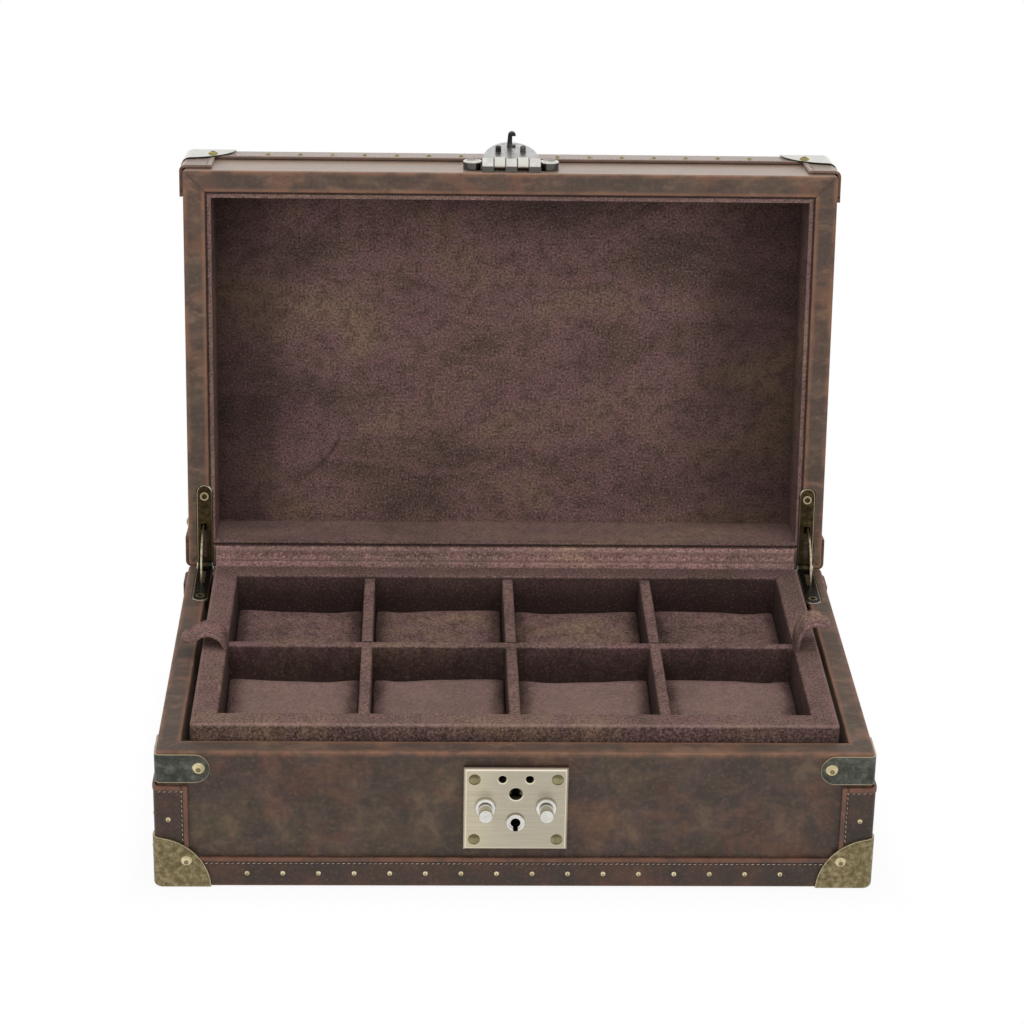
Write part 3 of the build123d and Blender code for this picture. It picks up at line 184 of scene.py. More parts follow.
class Finish:
    """One material, built node by node."""

    def __init__(self, name, **fixed):
        self.material = bpy.data.materials.new(name)
        self.material.use_nodes = True
        self.tree = self.material.node_tree
        self.shader = self.tree.nodes["Principled BSDF"]
        for socket, value in fixed.items():
            self.shader.inputs[socket.replace("_", " ")].default_value = value

    def node(self, kind, settings=None, inputs=None, output=0):
        """Adds a node: its settings first, then the values or links of its sockets."""
        made = self.tree.nodes.new(kind)
        for setting, value in (settings or {}).items():
            setattr(made, setting, value)
        for name, value in (inputs or {}).items():
            if isinstance(value, Signal):
                self.tree.links.new(value.socket, made.inputs[name])
            else:
                made.inputs[name].default_value = value
        return Signal(self, made.outputs[output])

    def place(self, part="base", stretch=(1, 1, 1)):
        """Object coordinates in millimetres, in the base's frame or in the open lid's."""
        here = self.node("ShaderNodeTexCoord", output=3)
        turn, shift = (0.0, 0.0, 0.0), (0.0, 0.0, 0.0)
        if part == "lid":
            turn = (lean - math.pi / 2, 0.0, 0.0)
            shift = (0.0, -lid_origin.dot(lid_up), lid_origin.dot(lid_out))
        spot = self.node("ShaderNodeMapping", inputs={
            "Vector": here, "Location": shift, "Rotation": turn, "Scale": (1000.0,) * 3})
        if stretch == (1, 1, 1):
            return spot
        return self.node("ShaderNodeMapping", inputs={"Vector": spot, "Scale": stretch})

    def facing(self):
        """The three numbers of the surface's direction."""
        return self.split(self.node("ShaderNodeTexCoord", output=1))

    def split(self, vector):
        """The three numbers of a vector."""
        apart = self.node("ShaderNodeSeparateXYZ", inputs={"Vector": vector})
        return [Signal(self, socket) for socket in apart.socket.node.outputs]

    def cloud(self, vector, scale, detail=3.0, rough=0.55, warp=0.0):
        """Soft noise; scale is in features per millimetre."""
        return self.node("ShaderNodeTexNoise", inputs={
            "Vector": vector, "Scale": scale, "Detail": detail, "Roughness": rough,
            "Distortion": warp})

    def cells(self, vector, scale):
        """Cell noise: the distance to the nearest of many scattered points."""
        return self.node("ShaderNodeTexVoronoi", inputs={"Vector": vector, "Scale": scale})

    def ramp(self, factor, places, swatches, tone=1.0):
        """A colour ramp, from its places and the swatches that stand there."""
        made = self.node("ShaderNodeValToRGB", inputs={"Fac": factor})
        elements = made.socket.node.color_ramp.elements
        while len(elements) < len(places):
            elements.new(0.5)
        for element, place, swatch in zip(elements, places, swatches):
            element.position, element.color = place, shade(swatch, tone)
        return made

    def paint(self, colour, coats, tone=1.0):
        """Lays coats over a colour; each is a mask and the swatch that it brings."""
        for mask, swatch in coats:
            colour = self.node("ShaderNodeMix", {"data_type": "RGBA"},
                               {0: mask, 6: colour, 7: shade(swatch, tone)}, output=2)
        return colour

    def feed(self, **signals):
        """Links signals to the shader's sockets."""
        for socket, signal in signals.items():
            self.tree.links.new(signal.socket, self.shader.inputs[socket.replace("_", " ")])

    def relief(self, height, depth, strength):
        """Bump from a height signal between 0 and 1 that is worth depth millimetres."""
        self.feed(Normal=self.node("ShaderNodeBump", inputs={
            "Height": height, "Distance": depth * mm, "Strength": strength}))


def shade(swatch, tone=1.0):
    """A swatch, read as levels from 0 to 255, as the shader wants it; tone lightens it."""
    def straight(level):
        level = min(255, level * tone) / 255
        return level / 12.92 if level <= 0.04045 else ((level + 0.055) / 1.055) ** 2.4
    return (*map(straight, swatch), 1)


def dress(finish, *names):
    """Gives a finish to nodes that keep their own shape."""
    for name in names:
        slots = nodes[name].data.materials
        slots.clear()
        slots.append(finish.material)
    print(finish.material.name, "on", len(names), "nodes")


# %% [markdown]
# ## Waxed leather
# The cover is pull-up leather: oil and wax move when it is bent or rubbed, so it is cloudy with
# olive, violet and red-brown patches, and each edge is rubbed back to rust. The clouds are
# slow noise through a ramp, a fine grain of small cells gives the bump, and the rubbed edges
# are masks made from the distance to the box's own edges.

# %% Leather
waxed = {"Roughness": 0.5, "Specular_IOR_Level": 0.4, "Coat_Roughness": 0.3,
         "Sheen_Roughness": 0.4}


def box_leather(name, part, height, tone):
    """Cloudy leather for a box of a given height, rubbed along its edges; tone lightens it."""
    lid = part == "lid"
    hide = Finish(name, **waxed, Sheen_Weight=0.55 if lid else 0.1,
                  Sheen_Tint=(1.0, 0.76, 0.60, 1))
    spot = hide.place(part)
    x, y, z = hide.split(spot)
    slow = hide.cloud(spot, 0.021, 4.0, 0.55, 0.4)
    other = hide.cloud(hide.place(part, (0.9, 1.1, 1.3)), 0.034, 4.0, 0.62)
    dabs = hide.cloud(hide.place(part, (1.0, 1.0, 0.8)), 0.075, 4.0, 0.60, 0.3)
    fine = hide.cloud(spot, 0.5, 5.0, 0.68)
    red = hide.cloud(spot, 0.045, 3.0, 0.6)
    streaks = hide.cloud(hide.place(part, (0.35, 0.8, 1.2)), 0.17, 4.0, 0.66, 0.5)
    broad = hide.cloud(hide.place(part, (0.7, 1.2, 1.0)), 0.05, 2.0, 0.5, 0.6)
    fleck = hide.cells(spot, 0.21).rise(0.10, 0.03) * fine.rise(0.42, 0.56)
    rub = hide.cloud(spot, 0.09, 4.0, 0.6)

    in_x, in_y, to_rim = half_width - abs(x), half_depth - abs(y), height - z
    side, corner = in_x.least(in_y), in_x + in_y
    on_rim = to_rim.rise(1.2, 0.4)
    outer_edge = abs(side - 0.7) + abs(to_rim - 0.7)
    inner_edge = abs(side - rim) + abs(to_rim)
    wear = outer_edge.rise(3.0, 0.5) * (0.15 + rub.rise(0.36, 0.62) * 0.75)
    wear = wear.most(inner_edge.rise(2.6, 0.3) * (0.45 + rub.rise(0.3, 0.6) * 0.5))
    wear = wear.most(corner.rise(5.0, 1.0) * rub.rise(0.35, 0.6) * 0.7)
    seam = abs(in_x - in_y).rise(0.8, 0.1) * side.rise(1.2, 2.2) * to_rim.rise(1.4, 0.4)
    # The lid's front face gets a gloss coat and a painted reflection, a lighter and warmer
    # colour; on the base the same lighter colour lies faintly along the upright corners.
    polish_and_painted_reflection = y.rise(99.6, 100.3) if lid else corner.rise(3.0, 1.0) * 0.3

    patch = hide.ramp(slow, (0.30, 0.43, 0.52, 0.61, 0.74), (
        (62, 55, 40), (78, 63, 48), (74, 58, 50), (90, 62, 48), (110, 80, 56)), tone)
    patch = hide.paint(patch, [
        (other.rise(0.48, 0.62) * 0.6, (72, 55, 52)),
        (red.rise(0.57, 0.68) * 0.55, (104, 62, 50)),
        (dabs.rise(0.56, 0.38) * 0.56, (46, 37, 32)),
        (dabs.rise(0.54, 0.70) * 0.54, (118, 95, 72)),
        (streaks.rise(0.52, 0.66) * (0.15 + on_rim * 0.45), (132, 104, 84)),
        (streaks.rise(0.50, 0.38) * (0.15 + on_rim * 0.5), (50, 42, 38)),
        (broad.rise(0.50, 0.38) * on_rim * 0.5, (60, 52, 46)),
        (broad.rise(0.54, 0.64) * on_rim * 0.4, (122, 82, 60)),
        (fine.rise(0.48, 0.72) * 0.38, (116, 98, 78)),
        (fine.rise(0.46, 0.30) * 0.40, (46, 37, 32)),
        (fleck * 0.3, (134, 112, 90)),
    ], tone)
    hide.feed(Base_Color=hide.paint(patch, [
        (wear * 0.85, (136, 94, 70)),
        (seam * (0.75 if lid else 0.3), (42, 30, 25)),
        (polish_and_painted_reflection * (0.14 + streaks.rise(0.4, 0.6) * 0.12), (188, 144, 112)),
        (on_rim * 0.12, (140, 112, 96)),
    ]), Roughness=0.42 + slow * 0.14 + fine * 0.14 - wear * 0.05,
        Coat_Weight=polish_and_painted_reflection * 0.97 + 0.03)
    grain = hide.cells(spot, 1.15) * 0.55 + fine * 0.7 + hide.cloud(spot, 0.06) * 1.2
    hide.relief(grain - seam * 1.5, 0.25, 0.55)
    return hide


dress(box_leather("base_leather", "base", base_height, 0.96),
      "base_leather_cover", "base_bottom_cover")
dress(box_leather("lid_leather", "lid", lid_height, 0.98), "lid_leather_cover")

# %% [markdown]
# ## Suede
# Every inside face is wrapped in the same pile suede. It looks alive because the nap lies in
# different directions: stroked one way it is tan, the other way plum, and its folds lie nearly
# black in shade. So the colour is slow noise through a ramp, drawn out along the way the hand
# goes, and over it lies a sharp pepper of short fibres that also makes the bump. The shade in
# folds, gaps and on the tray's walls is painted into the colour as dark marks, and some
# highlights as light marks. A little sheen lifts the faces that are seen on edge.

# %% Suede


def suede(name, part, stroke, marks, tone=1.0, walls=0.0):
    """Napped suede. Stroke squeezes the clouds across the direction of the hand, marks gives a
    dark and a light mask, tone lightens all of it, and walls darkens the tray's upright faces,
    partly for the way the nap hangs and partly as painted shade, deeper low down and towards
    the back; it also paints light on the faces that look up."""
    nap = Finish(name, Roughness=0.95, Specular_IOR_Level=0.08, Sheen_Weight=0.05,
                 Sheen_Roughness=0.5, Sheen_Tint=(0.75, 0.55, 0.50, 1))
    spot = nap.place(part)
    x, y, z = nap.split(spot)
    slow = nap.cloud(nap.place(part, stroke), 0.019, 4.0, 0.6, 0.6)
    plum = nap.cloud(nap.place(part, (1.2, 0.8, 1.0)), 0.036, 3.0, 0.55)
    brushed = nap.cloud(nap.place(part, (stroke[0] * 2.4, *stroke[1:])), 0.10, 3.0, 0.62)
    pepper = nap.cloud(spot, 0.9, 3.0, 0.8)
    colour = nap.ramp(slow, (0.34, 0.43, 0.50, 0.58, 0.72), (
        (84, 68, 62), (106, 84, 78), (120, 92, 90), (122, 98, 86), (142, 116, 96)), tone)
    coats = [(plum.rise(0.50, 0.64) * 0.6, (118, 88, 90)),
             (brushed.rise(0.54, 0.36) * 0.5, (76, 60, 56))]
    calm = 1.0
    if walls:
        level = abs(nap.facing()[2])
        upright = level.rise(0.75, 0.35)
        inside = (tray_half_width - abs(x)).least(tray_half_depth - abs(y)).rise(2.0, 8.0)
        deep = (0.55 + z.rise(73.0, 60.0) * 0.5) * (0.76 + y.rise(5.0, 40.0) * 0.24)
        # Painted shade on the upright faces inside the rails, deeper low down and towards the
        # back, over the nap's own darkening; painted light on the faces that look up; darker
        # towards the back.
        coats += [(upright * (0.26 + inside * deep * walls), (34, 26, 23)),
                  (level.rise(0.6, 0.95) * 0.22, (156, 126, 120)),
                  (y.rise(66.0, 84.0) * 0.46, (66, 48, 48))]
        calm = 1 - upright * inside * 0.72
    dark, light = marks(nap, spot, x, y, z)
    coats += [(pepper.rise(0.52, 0.36) * 0.78, (52, 40, 37)),
              (pepper.rise(0.53, 0.68) * 0.6 * calm, (164, 136, 126))]
    colour = nap.paint(colour, coats, tone)
    # The dark mask carries painted shade as well as dark joints and grooves, and the light mask
    # painted highlights as well as pale edges.
    nap.feed(Base_Color=nap.paint(colour, [
        (dark * 0.8, (40, 30, 28)), (light * 0.5, (160, 132, 124))]))
    lift = pepper * 0.9 + nap.cells(spot, 2.0) * 0.35 + nap.cloud(spot, 0.3, 2.0) * 0.5
    nap.relief(lift - dark, 0.5, 0.75)
    return nap


def tray_marks(nap, spot, x, y, z):
    """The cut and glued corners of the tray's rail, and a lighter line along its outer top edge.
    """
    in_x, in_y = tray_half_width - abs(x), tray_half_depth - abs(y)
    side = in_x.least(in_y)
    mitre = abs(in_x - in_y).rise(0.7, 0.1) * side.rise(12.4, 11.6) * z.rise(66.0, 70.0)
    ridge = (abs(side - 0.8) + abs(z - tray_top)).rise(1.8, 0.4) * 0.7
    return mitre * 0.35, ridge


def lid_marks(nap, spot, x, y, z):
    """The lid's lining: a crease low on the left, painted as a line of shade, its sides and top
    darkened partly by the nap and partly by painted shade from the walls, painted shade in the
    gap beside the leather, and a pale fuzzy front edge."""
    from_x, from_y = x + 92.0, y + 54.0
    along = from_x * 0.64 + from_y * 0.77
    across = from_x * 0.77 - from_y * 0.64 + along * along * 0.012
    crease = abs(across).rise(1.3, 0.2) * abs(along).rise(19.0, 12.0) * 0.45
    smoke = nap.cloud(spot, 0.03, 3.0, 0.6)
    sides = (abs(x + 6.0) + smoke * 60.0).rise(114.0, 160.0)
    sides = sides.most((y + smoke * 30.0).rise(78.0, 104.0) * 0.5) * z.rise(30.0, 12.0)
    fuzz = nap.cloud(spot, 1.3, 3.0, 0.7)
    gap = ((149.4 - abs(x)).least(89.9 - abs(y)) + fuzz * 0.6).rise(1.7, 1.1) * z.rise(40.0, 44.0)
    front = z.rise(44.2, 45.3) * (1 - gap) * (0.1 + fuzz.rise(0.38, 0.62) * 0.5)
    sill = y.rise(-85.6, -86.7) * z.rise(11.0, 14.0) * z.rise(45.2, 44.0)
    return (sides * 0.72).most(crease).most(gap), front.most(sill * 0.42)


tray_suede = suede("tray_suede", "base", (0.8, 1.2, 1.0), tray_marks, 1.02, 0.62)
dress(tray_suede, "tray_frame", "tray_cross_dividers", "tray_long_divider", "tray_floor",
      "tray_ledges")
dress(suede("lid_suede", "lid", (0.6, 1.5, 1.0), lid_marks), "lid_lining_boards",
      "lid_lining_panel")

# %% [markdown]
# ## Boards
# The walls are pressed fibre board. It only shows where a covered edge is looked at from
# inside, but it still has its fleck: pale fibres drawn out along the board, and darker ones.

# %% Fibre board
board = Finish("fibre_board", Roughness=0.85, Specular_IOR_Level=0.2)
board_fibre = board.cloud(board.place("base", (0.25, 1.0, 1.0)), 0.9, 4.0, 0.7)
board_fleck = board.cells(board.place(), 0.7)
board_colour = board.ramp(board_fibre, (0.3, 0.5, 0.7),
                          ((50, 40, 32), (68, 55, 43), (92, 76, 60)))
board.feed(Base_Color=board.paint(board_colour, [
    (board_fleck.rise(0.35, 0.1) * 0.4, (40, 31, 24))]))
board.relief(board_fibre + board_fleck * 0.4, 0.15, 0.5)
dress(board, *[name for name in nodes if name.endswith("_board")])

# %% [markdown]
# ## Metal
# The corners and nails are brass that was blackened and then rubbed back, so it is mottled
# olive with dull pits, and its cut edge is bright. The brackets, hinges and stays are a darker
# bronze. The hasp, buttons and collars are polished nickel, the lock plate is brushed, and
# what sits inside the lock is plain steel. One helper mixes them all from three tones, and
# small masks paint in the highlights, reflections and shade that mirror-like metal shows: bright
# and dark lines along its edges, and the dark of its joints, slots and holes.

# %% Masks for the metal
leaf_x = 151.8
lock_z, key_z, hook_z = 41.2, 35.0, 48.88
olive = (92, 82, 56), (126, 113, 83), (158, 144, 112)
pale_nickel = (204, 201, 193), (216, 213, 206), (228, 226, 220)
cream, shadow = (186, 172, 142), (38, 32, 28)


def distance(*steps):
    """The length of a way that has these steps, each at right angles to the others."""
    total = steps[0] ** 2.0
    for step in steps[1:]:
        total = total + step ** 2.0
    return total.root()


def cap_edge(corner_z):
    """The cut edge of a ball corner whose ball is centred on the box's own corner."""
    def line(plate, x, y, z):
        return distance(162.5 - abs(x), 103.0 - abs(y), z - corner_z).rise(25.5, 25.8)
    return line


def cap_front_reflection(share):
    """The painted reflection on the front faces of the lid's corners, by a share that is a number
    or another mask.
    """
    def face(plate, *where):
        return where[1].rise(100.8, 101.6) * (share(plate, *where) if callable(share) else share)
    return face


def bracket_edge(plate, x, y, z):
    """The outline of the round-ended brackets on the front corners."""
    reach = ((half_width - abs(x)) + (half_depth - abs(y)) - 16.2).most(0.0)
    return distance(reach, z - 59.8).rise(6.65, 6.9)


def from_hinge(part, y):
    return y + half_depth if part == "lid" else half_depth - y


def leaf_edge_highlight(part):
    """A painted highlight along a hinge leaf's outline, which is round at its far end; it is
    brightest along the outer side and the far end.
    """
    def line(plate, x, y, z):
        far, across = from_hinge(part, y) - 38.0, abs(x) - leaf_x
        outline = distance(across, far.most(0.0)).rise(3.35, 3.65)
        return outline * (0.22 + across.most(far * 0.6).rise(-0.5, 2.0) * 0.78)
    return line


def screw_ring(part):
    """The bright rim of the countersunk screws at 36 mm from the hinge line."""
    def line(plate, x, y, z):
        away = distance(abs(x) - leaf_x, from_hinge(part, y) - 36.0)
        return away.rise(1.25, 1.6) * away.rise(2.3, 2.0)
    return line


def dome(plate, x, y, z):
    """The dark reflection in the middle of a round head; the rim around it stays bright."""
    across, along, up = [abs(way) for way in plate.facing()]
    return across.most(along).most(up).rise(0.91, 0.98) * 0.88


def dish_shade(plate, x, y, z):
    """The upper part of the lock plate's dished rivets, which lies in its own shade."""
    upper = z.rise(40.0, 42.0) * 2 - 1
    return ((abs(z - lock_z) - 15.1) * upper).rise(-0.4, 1.4) * 0.7


def plate_rim_highlight(plate, x, y, z):
    """The painted highlight where the lock plate's face meets its bevel, and round its holes."""
    side = (23.3 - abs(x)).least(20.65 - abs(z - lock_z))
    pins = distance(abs(x) - 6.1, z - 56.23) - 1.8
    holes = pins.least(distance(x, z - hook_z) - 3.0)
    return abs(side - 0.85).rise(0.5, 0.2).most(abs(holes - 0.2).rise(0.4, 0.15) * 0.7)


def plate_top(plate, x, y, z):
    """The upper edge of the lock plate, which mirrors the leather above it."""
    return z.rise(61.0, 61.5) * 0.8


def plate_haze(plate, x, y, z):
    """The duller reflection on the middle and the right of the lock plate."""
    drift = plate.cloud(plate.place(), 0.08, 2.0) * 14.0
    return (x + drift).rise(-10.0, 4.0) * 0.42


def collar_slot_shade(plate, x, y, z):
    """The slot that runs on from the keyhole through the key collar's ring, painted in as shade,
    and painted shade at the dark foot of every collar."""
    slot = abs(x).rise(1.2, 1.0) * z.rise(33.5, 33.3) * z.rise(30.8, 31.0)
    return slot.most(y.rise(-104.7, -104.3) * 0.6)


def button_band_shade(plate, x, y, z):
    """Painted shade in the line where a button enters its collar, and a painted dark reflection
    in the line behind its front face.
    """
    return abs(y + 106.6).rise(0.7, 0.3).most(abs(y + 112.2).rise(0.45, 0.2) * 0.5) * 0.85


def keyhole_dark(plate, x, y, z):
    """The unlit keyhole: a round hole with a slot below it."""
    hole = distance(x, z - key_z).rise(2.35, 2.15)
    return hole.most(abs(x).rise(1.2, 1.0) * z.rise(key_z, key_z - 0.2))


def in_knuckles(y, z, inner=3.3):
    """1 within the hasp's rolled knuckles, round their pin."""
    return distance(y - 104.5, z - 41.65).rise(3.6, inner)


def knuckle_gaps(x, y, z):
    """The thin gaps between one knuckle and the next."""
    return abs(abs(abs(x) - 5.7) - 2.85).rise(0.42, 0.16) * in_knuckles(y, z)


def hasp_shade(plate, x, y, z):
    """What the hasp's leaf mirrors low down: dark walls of the ears, dark undersides of the
    knuckles, and the gaps between them."""
    low = (y - 103.4 - abs(x).rise(14.0, 14.6) * 0.9).rise(0.35, -0.25)
    return low.most(knuckle_gaps(x, y, z)) * 0.88


def plate_shade(plate, x, y, z):
    """The same dark undersides and gaps on the knuckles of the hasp's own plate."""
    return (y.rise(103.3, 102.6) * in_knuckles(y, z)).most(knuckle_gaps(x, y, z)) * 0.88


def plate_barrel_highlight(plate, x, y, z):
    """The painted highlight on the rolled knuckles of the hasp's plate."""
    return in_knuckles(y, z, 3.2)


# %% [markdown]
# ## The metal finishes
# Each row below is one metal: the nodes that wear it, its name, its dark, middle and bright
# tone, how fine the mottling is, how rough and how deep it is, and then its marks.

# %% Metal finishes


def metal(names, name, tones, scale, rough, depth, *marks, part="base", spread=0.08,
          grain=(1, 1, 1), metallic=1.0, lacquer=0.0):
    """Mottled metal; spread is how much duller its dark places are, and grain draws it out."""
    plate = Finish(name, Metallic=metallic, Roughness=rough, Coat_Weight=lacquer,
                   Coat_Roughness=0.12)
    spot = plate.place(part)
    x, y, z = plate.split(spot)
    mottle = plate.cloud(plate.place(part, grain), scale, 5.0, 0.68)
    level = mottle * 0.75 + plate.cloud(spot, scale * 5, 3.0, 0.7) * 0.25
    coats = [(mask(plate, x, y, z), swatch) for mask, swatch in marks]
    plate.feed(Base_Color=plate.paint(plate.ramp(level, (0.36, 0.5, 0.64), tones), coats),
               Roughness=level.rise(0.62, 0.38) * spread + rough)
    plate.relief(level, depth, 0.6)
    dress(plate, *names.split())


metal("base_corner_caps", "base_corner_brass", olive, 0.42, 0.34, 0.05,
      (cap_edge(0.0), cream), spread=0.14)
# The lid's corners carry a painted reflection on their front faces: lighter over the face, and
# dark along its cut edge.
metal("lid_corner_caps", "lid_corner_brass", olive, 0.42, 0.2, 0.006, (cap_edge(-2.5), cream),
      (cap_front_reflection(0.3), (196, 190, 172)), (cap_front_reflection(cap_edge(-2.5)), (44, 38, 30)),
      part="lid", lacquer=1.0)
metal("base_corner_rivets base_nails", "rivet_brass",
      ((170, 156, 118), (202, 188, 150), (230, 218, 184)), 0.25, 0.14, 0.01,
      (dome, (92, 76, 50)))
metal("lid_corner_rivets lid_nails", "lid_rivet_brass",
      ((120, 108, 62), (150, 138, 86), (184, 172, 116)), 0.25, 0.14, 0.01,
      (dome, (46, 38, 26)), part="lid")
metal("lock_plate_rivets", "dished_brass", ((116, 108, 76), (140, 131, 98), (162, 153, 118)),
      0.2, 0.24, 0.01, (dish_shade, (76, 70, 48)))
metal("base_corner_brackets", "bracket_bronze", ((54, 57, 50), (72, 74, 66), (102, 102, 92)),
      0.24, 0.28, 0.05, (bracket_edge, cream), spread=0.2, metallic=0.75)
metal("hinge_base_leaves", "base_hinge_bronze", ((20, 20, 17), (30, 30, 25), (50, 47, 38)),
      0.4, 0.22, 0.03, (leaf_edge_highlight("base"), (206, 196, 170)), spread=0.2, metallic=0.85)
metal("hinge_lid_leaves", "lid_hinge_bronze", ((38, 30, 18), (56, 45, 27), (82, 67, 42)),
      0.4, 0.26, 0.03, (leaf_edge_highlight("lid"), (214, 202, 172)), part="lid", spread=0.2, metallic=0.9)
metal("hinge_base_screws", "base_screw_bronze", ((34, 32, 26), (52, 48, 38), (76, 70, 56)),
      0.5, 0.22, 0.02, (screw_ring("base"), (168, 158, 128)), spread=0.2)
metal("hinge_lid_screws", "lid_screw_bronze", ((52, 44, 30), (76, 66, 46), (104, 92, 66)),
      0.5, 0.22, 0.02, (screw_ring("lid"), (176, 162, 128)), part="lid", spread=0.2)
metal("stay_arcs hinge_pins", "stay_bronze", ((130, 120, 94), (176, 166, 138), (210, 202, 178)),
      0.5, 0.18, 0.02, spread=0.2)
for names, name, rough, part, marks in [
        ("hasp_knuckle_pin hasp_leaf_screws", "polished_nickel", 0.09, "base", []),
        ("button_left button_right", "button_nickel", 0.09, "base", [(button_band_shade, shadow)]),
        ("lock_collars", "collar_nickel", 0.09, "base", [(collar_slot_shade, (16, 13, 12))]),
        ("hasp_leaf", "hasp_nickel", 0.09, "lid", [(hasp_shade, shadow)]),
        ("key_plug", "key_nickel", 0.12, "base", [(keyhole_dark, (12, 10, 9))])]:
    metal(names, name, pale_nickel, 0.2, rough, 0.004, *marks, part=part, spread=0.06)
metal("hasp_plate", "satin_nickel", ((172, 171, 170), (188, 187, 186), (202, 201, 200)),
      0.5, 0.30, 0.01, (plate_barrel_highlight, (222, 219, 210)), (plate_shade, shadow), part="lid")
metal("hasp_hook hasp_pins", "dark_nickel", ((44, 43, 42), (74, 72, 70), (126, 123, 118)),
      0.35, 0.16, 0.01)
metal("lock_plate", "brushed_plate", ((186, 176, 151), (195, 185, 161), (204, 195, 173)),
      2.4, 0.26, 0.012, (plate_haze, (158, 152, 142)), (plate_rim_highlight, (244, 234, 210)),
      (plate_top, (132, 116, 106)), spread=0.1, grain=(0.02, 1.0, 1.0))
metal("lock_case lock_cam latch_jaw_left latch_jaw_right button_springs", "lock_steel",
      ((70, 68, 64), (104, 101, 96), (140, 138, 132)), 0.5, 0.35, 0.05, spread=0.2)

# %% [markdown]
# ## Working on a mesh in code
# The soft and sewn pieces are modelled as by hand: start from a block of the right size, open
# it in edit mode, pick faces or edges by where they are, and extrude, inset, bevel or bisect.
# These helpers open a block, pick from it, and apply a modifier.

# %% Modelling helpers
lid_turn = Matrix((Vector((1, 0, 0)), lid_up, -lid_out)).transposed().to_4x4()
lid_place = Matrix.Translation(lid_origin * mm) @ lid_turn


def primitive(name, add, size, place, scale=(1, 1, 1)):
    """Adds a plane or a cube, in metres, applies its size, and opens it in edit mode."""
    bpy.ops.object.select_all(action="DESELECT")
    add(size=size, location=place)
    piece = bpy.context.object
    piece.name = piece.data.name = name
    piece.scale = scale
    bpy.ops.object.transform_apply(location=True, rotation=True, scale=True)
    bpy.ops.object.mode_set(mode="EDIT")
    return piece


def block(name, low, high):
    """A box between two corners, given in millimetres, open in edit mode."""
    low, high = Vector(low) * mm, Vector(high) * mm
    return primitive(name, bpy.ops.mesh.primitive_cube_add, 1, (low + high) / 2, high - low)


def close_edit():
    if bpy.context.mode != "OBJECT":
        bpy.ops.object.mode_set(mode="OBJECT")


def pick(piece, kind, chosen):
    """Selects only the faces, edges or vertices for which chosen(item) is true."""
    bpy.ops.mesh.select_all(action="DESELECT")
    bpy.ops.mesh.select_mode(type=kind)
    work = bmesh.from_edit_mesh(piece.data)
    for item in {"FACE": work.faces, "EDGE": work.edges, "VERT": work.verts}[kind]:
        if chosen(item):
            item.select_set(True)
    bmesh.update_edit_mesh(piece.data)


def drop(piece, kind, chosen):
    """Deletes the faces or vertices for which chosen(item) is true."""
    pick(piece, kind, chosen)
    bpy.ops.mesh.delete(type=kind)


def cut(axis, place):
    """Bisects the whole open mesh across axis 0, 1 or 2, at a place in millimetres."""
    way = Vector([float(index == axis) for index in range(3)])
    bpy.ops.mesh.select_all(action="SELECT")
    bpy.ops.mesh.bisect(plane_co=way * place * mm, plane_no=way)


def finish_with(piece, kind, **settings):
    """Closes the edit mode, adds a modifier and applies it."""
    close_edit()
    bpy.context.view_layer.objects.active = piece
    modifier = piece.modifiers.new(kind.lower(), kind)
    for name, value in settings.items():
        setattr(modifier, name, value)
    bpy.ops.object.modifier_apply(modifier=modifier.name)


def hand_over(piece, body, finish, place=None, smooth=35):
    """Moves a finished piece to its place, shades it, and lets it ride on a body."""
    close_edit()
    bpy.ops.object.select_all(action="DESELECT")
    piece.select_set(True)
    bpy.context.view_layer.objects.active = piece
    if place is not None:
        piece.data.transform(place)
    bpy.ops.object.shade_smooth_by_angle(angle=math.radians(smooth))
    piece.data.materials.clear()
    piece.data.materials.append(finish.material)
    if body:
        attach(piece, body)
    print(piece.name, len(piece.data.polygons), "faces")


def middle(edge):
    return (edge.verts[0].co + edge.verts[1].co) / 2


def runs_up(edge):
    return abs((edge.verts[0].co - edge.verts[1].co).normalized().z) > 0.9


# %% [markdown]
# ## Trim leather
# The binding and the corner strips are a thinner, redder leather. Their edges are folded under,
# so they stand up as a soft bead, and the wax has been rubbed off them to rust. Below the bead
# runs a line of stitching, and each stitch goes through a small dark hole.

# %% Trim leather


def trim_leather(name, part, marks):
    """Red-brown leather. Marks gives three masks: the folded edges, the stitch channel, and
    the faces that are polished by handling, which get a gloss coat and a lighter colour; on the
    lid's front face that lighter colour is a painted reflection."""
    hide = Finish(name, **waxed, Sheen_Weight=0.4 if part == "lid" else 0.05,
                  Sheen_Tint=(1.0, 0.76, 0.62, 1))
    spot = hide.place(part)
    slow = hide.cloud(spot, 0.06, 4.0, 0.6, 0.3)
    fine = hide.cloud(spot, 0.6, 5.0, 0.68)
    worn = hide.cloud(spot, 0.12, 4.0, 0.65)
    folded, channel, polish_and_painted_reflection = marks(*hide.split(spot))
    colour = hide.ramp(slow, (0.32, 0.46, 0.56, 0.70),
                       ((46, 36, 29), (56, 43, 35), (67, 46, 37), (84, 57, 43)))
    hide.feed(Base_Color=hide.paint(colour, [
        (fine.rise(0.48, 0.72) * 0.4, (108, 86, 70)),
        (fine.rise(0.46, 0.30) * 0.4, (38, 29, 26)),
        (folded * (0.25 + worn.rise(0.38, 0.62) * 0.5), (120, 78, 58)),
        (folded * worn.rise(0.50, 0.36) * 0.65, (82, 58, 52)),
        (channel * 0.7, (34, 25, 22)),
        (polish_and_painted_reflection * 0.2, (160, 126, 106)),
    ]), Roughness=0.44 + fine * 0.2, Coat_Weight=polish_and_painted_reflection * 0.9 + 0.02)
    hide.relief(hide.cells(spot, 1.5) * 0.5 + fine * 0.7 - channel * 1.5, 0.22, 0.5)
    return hide


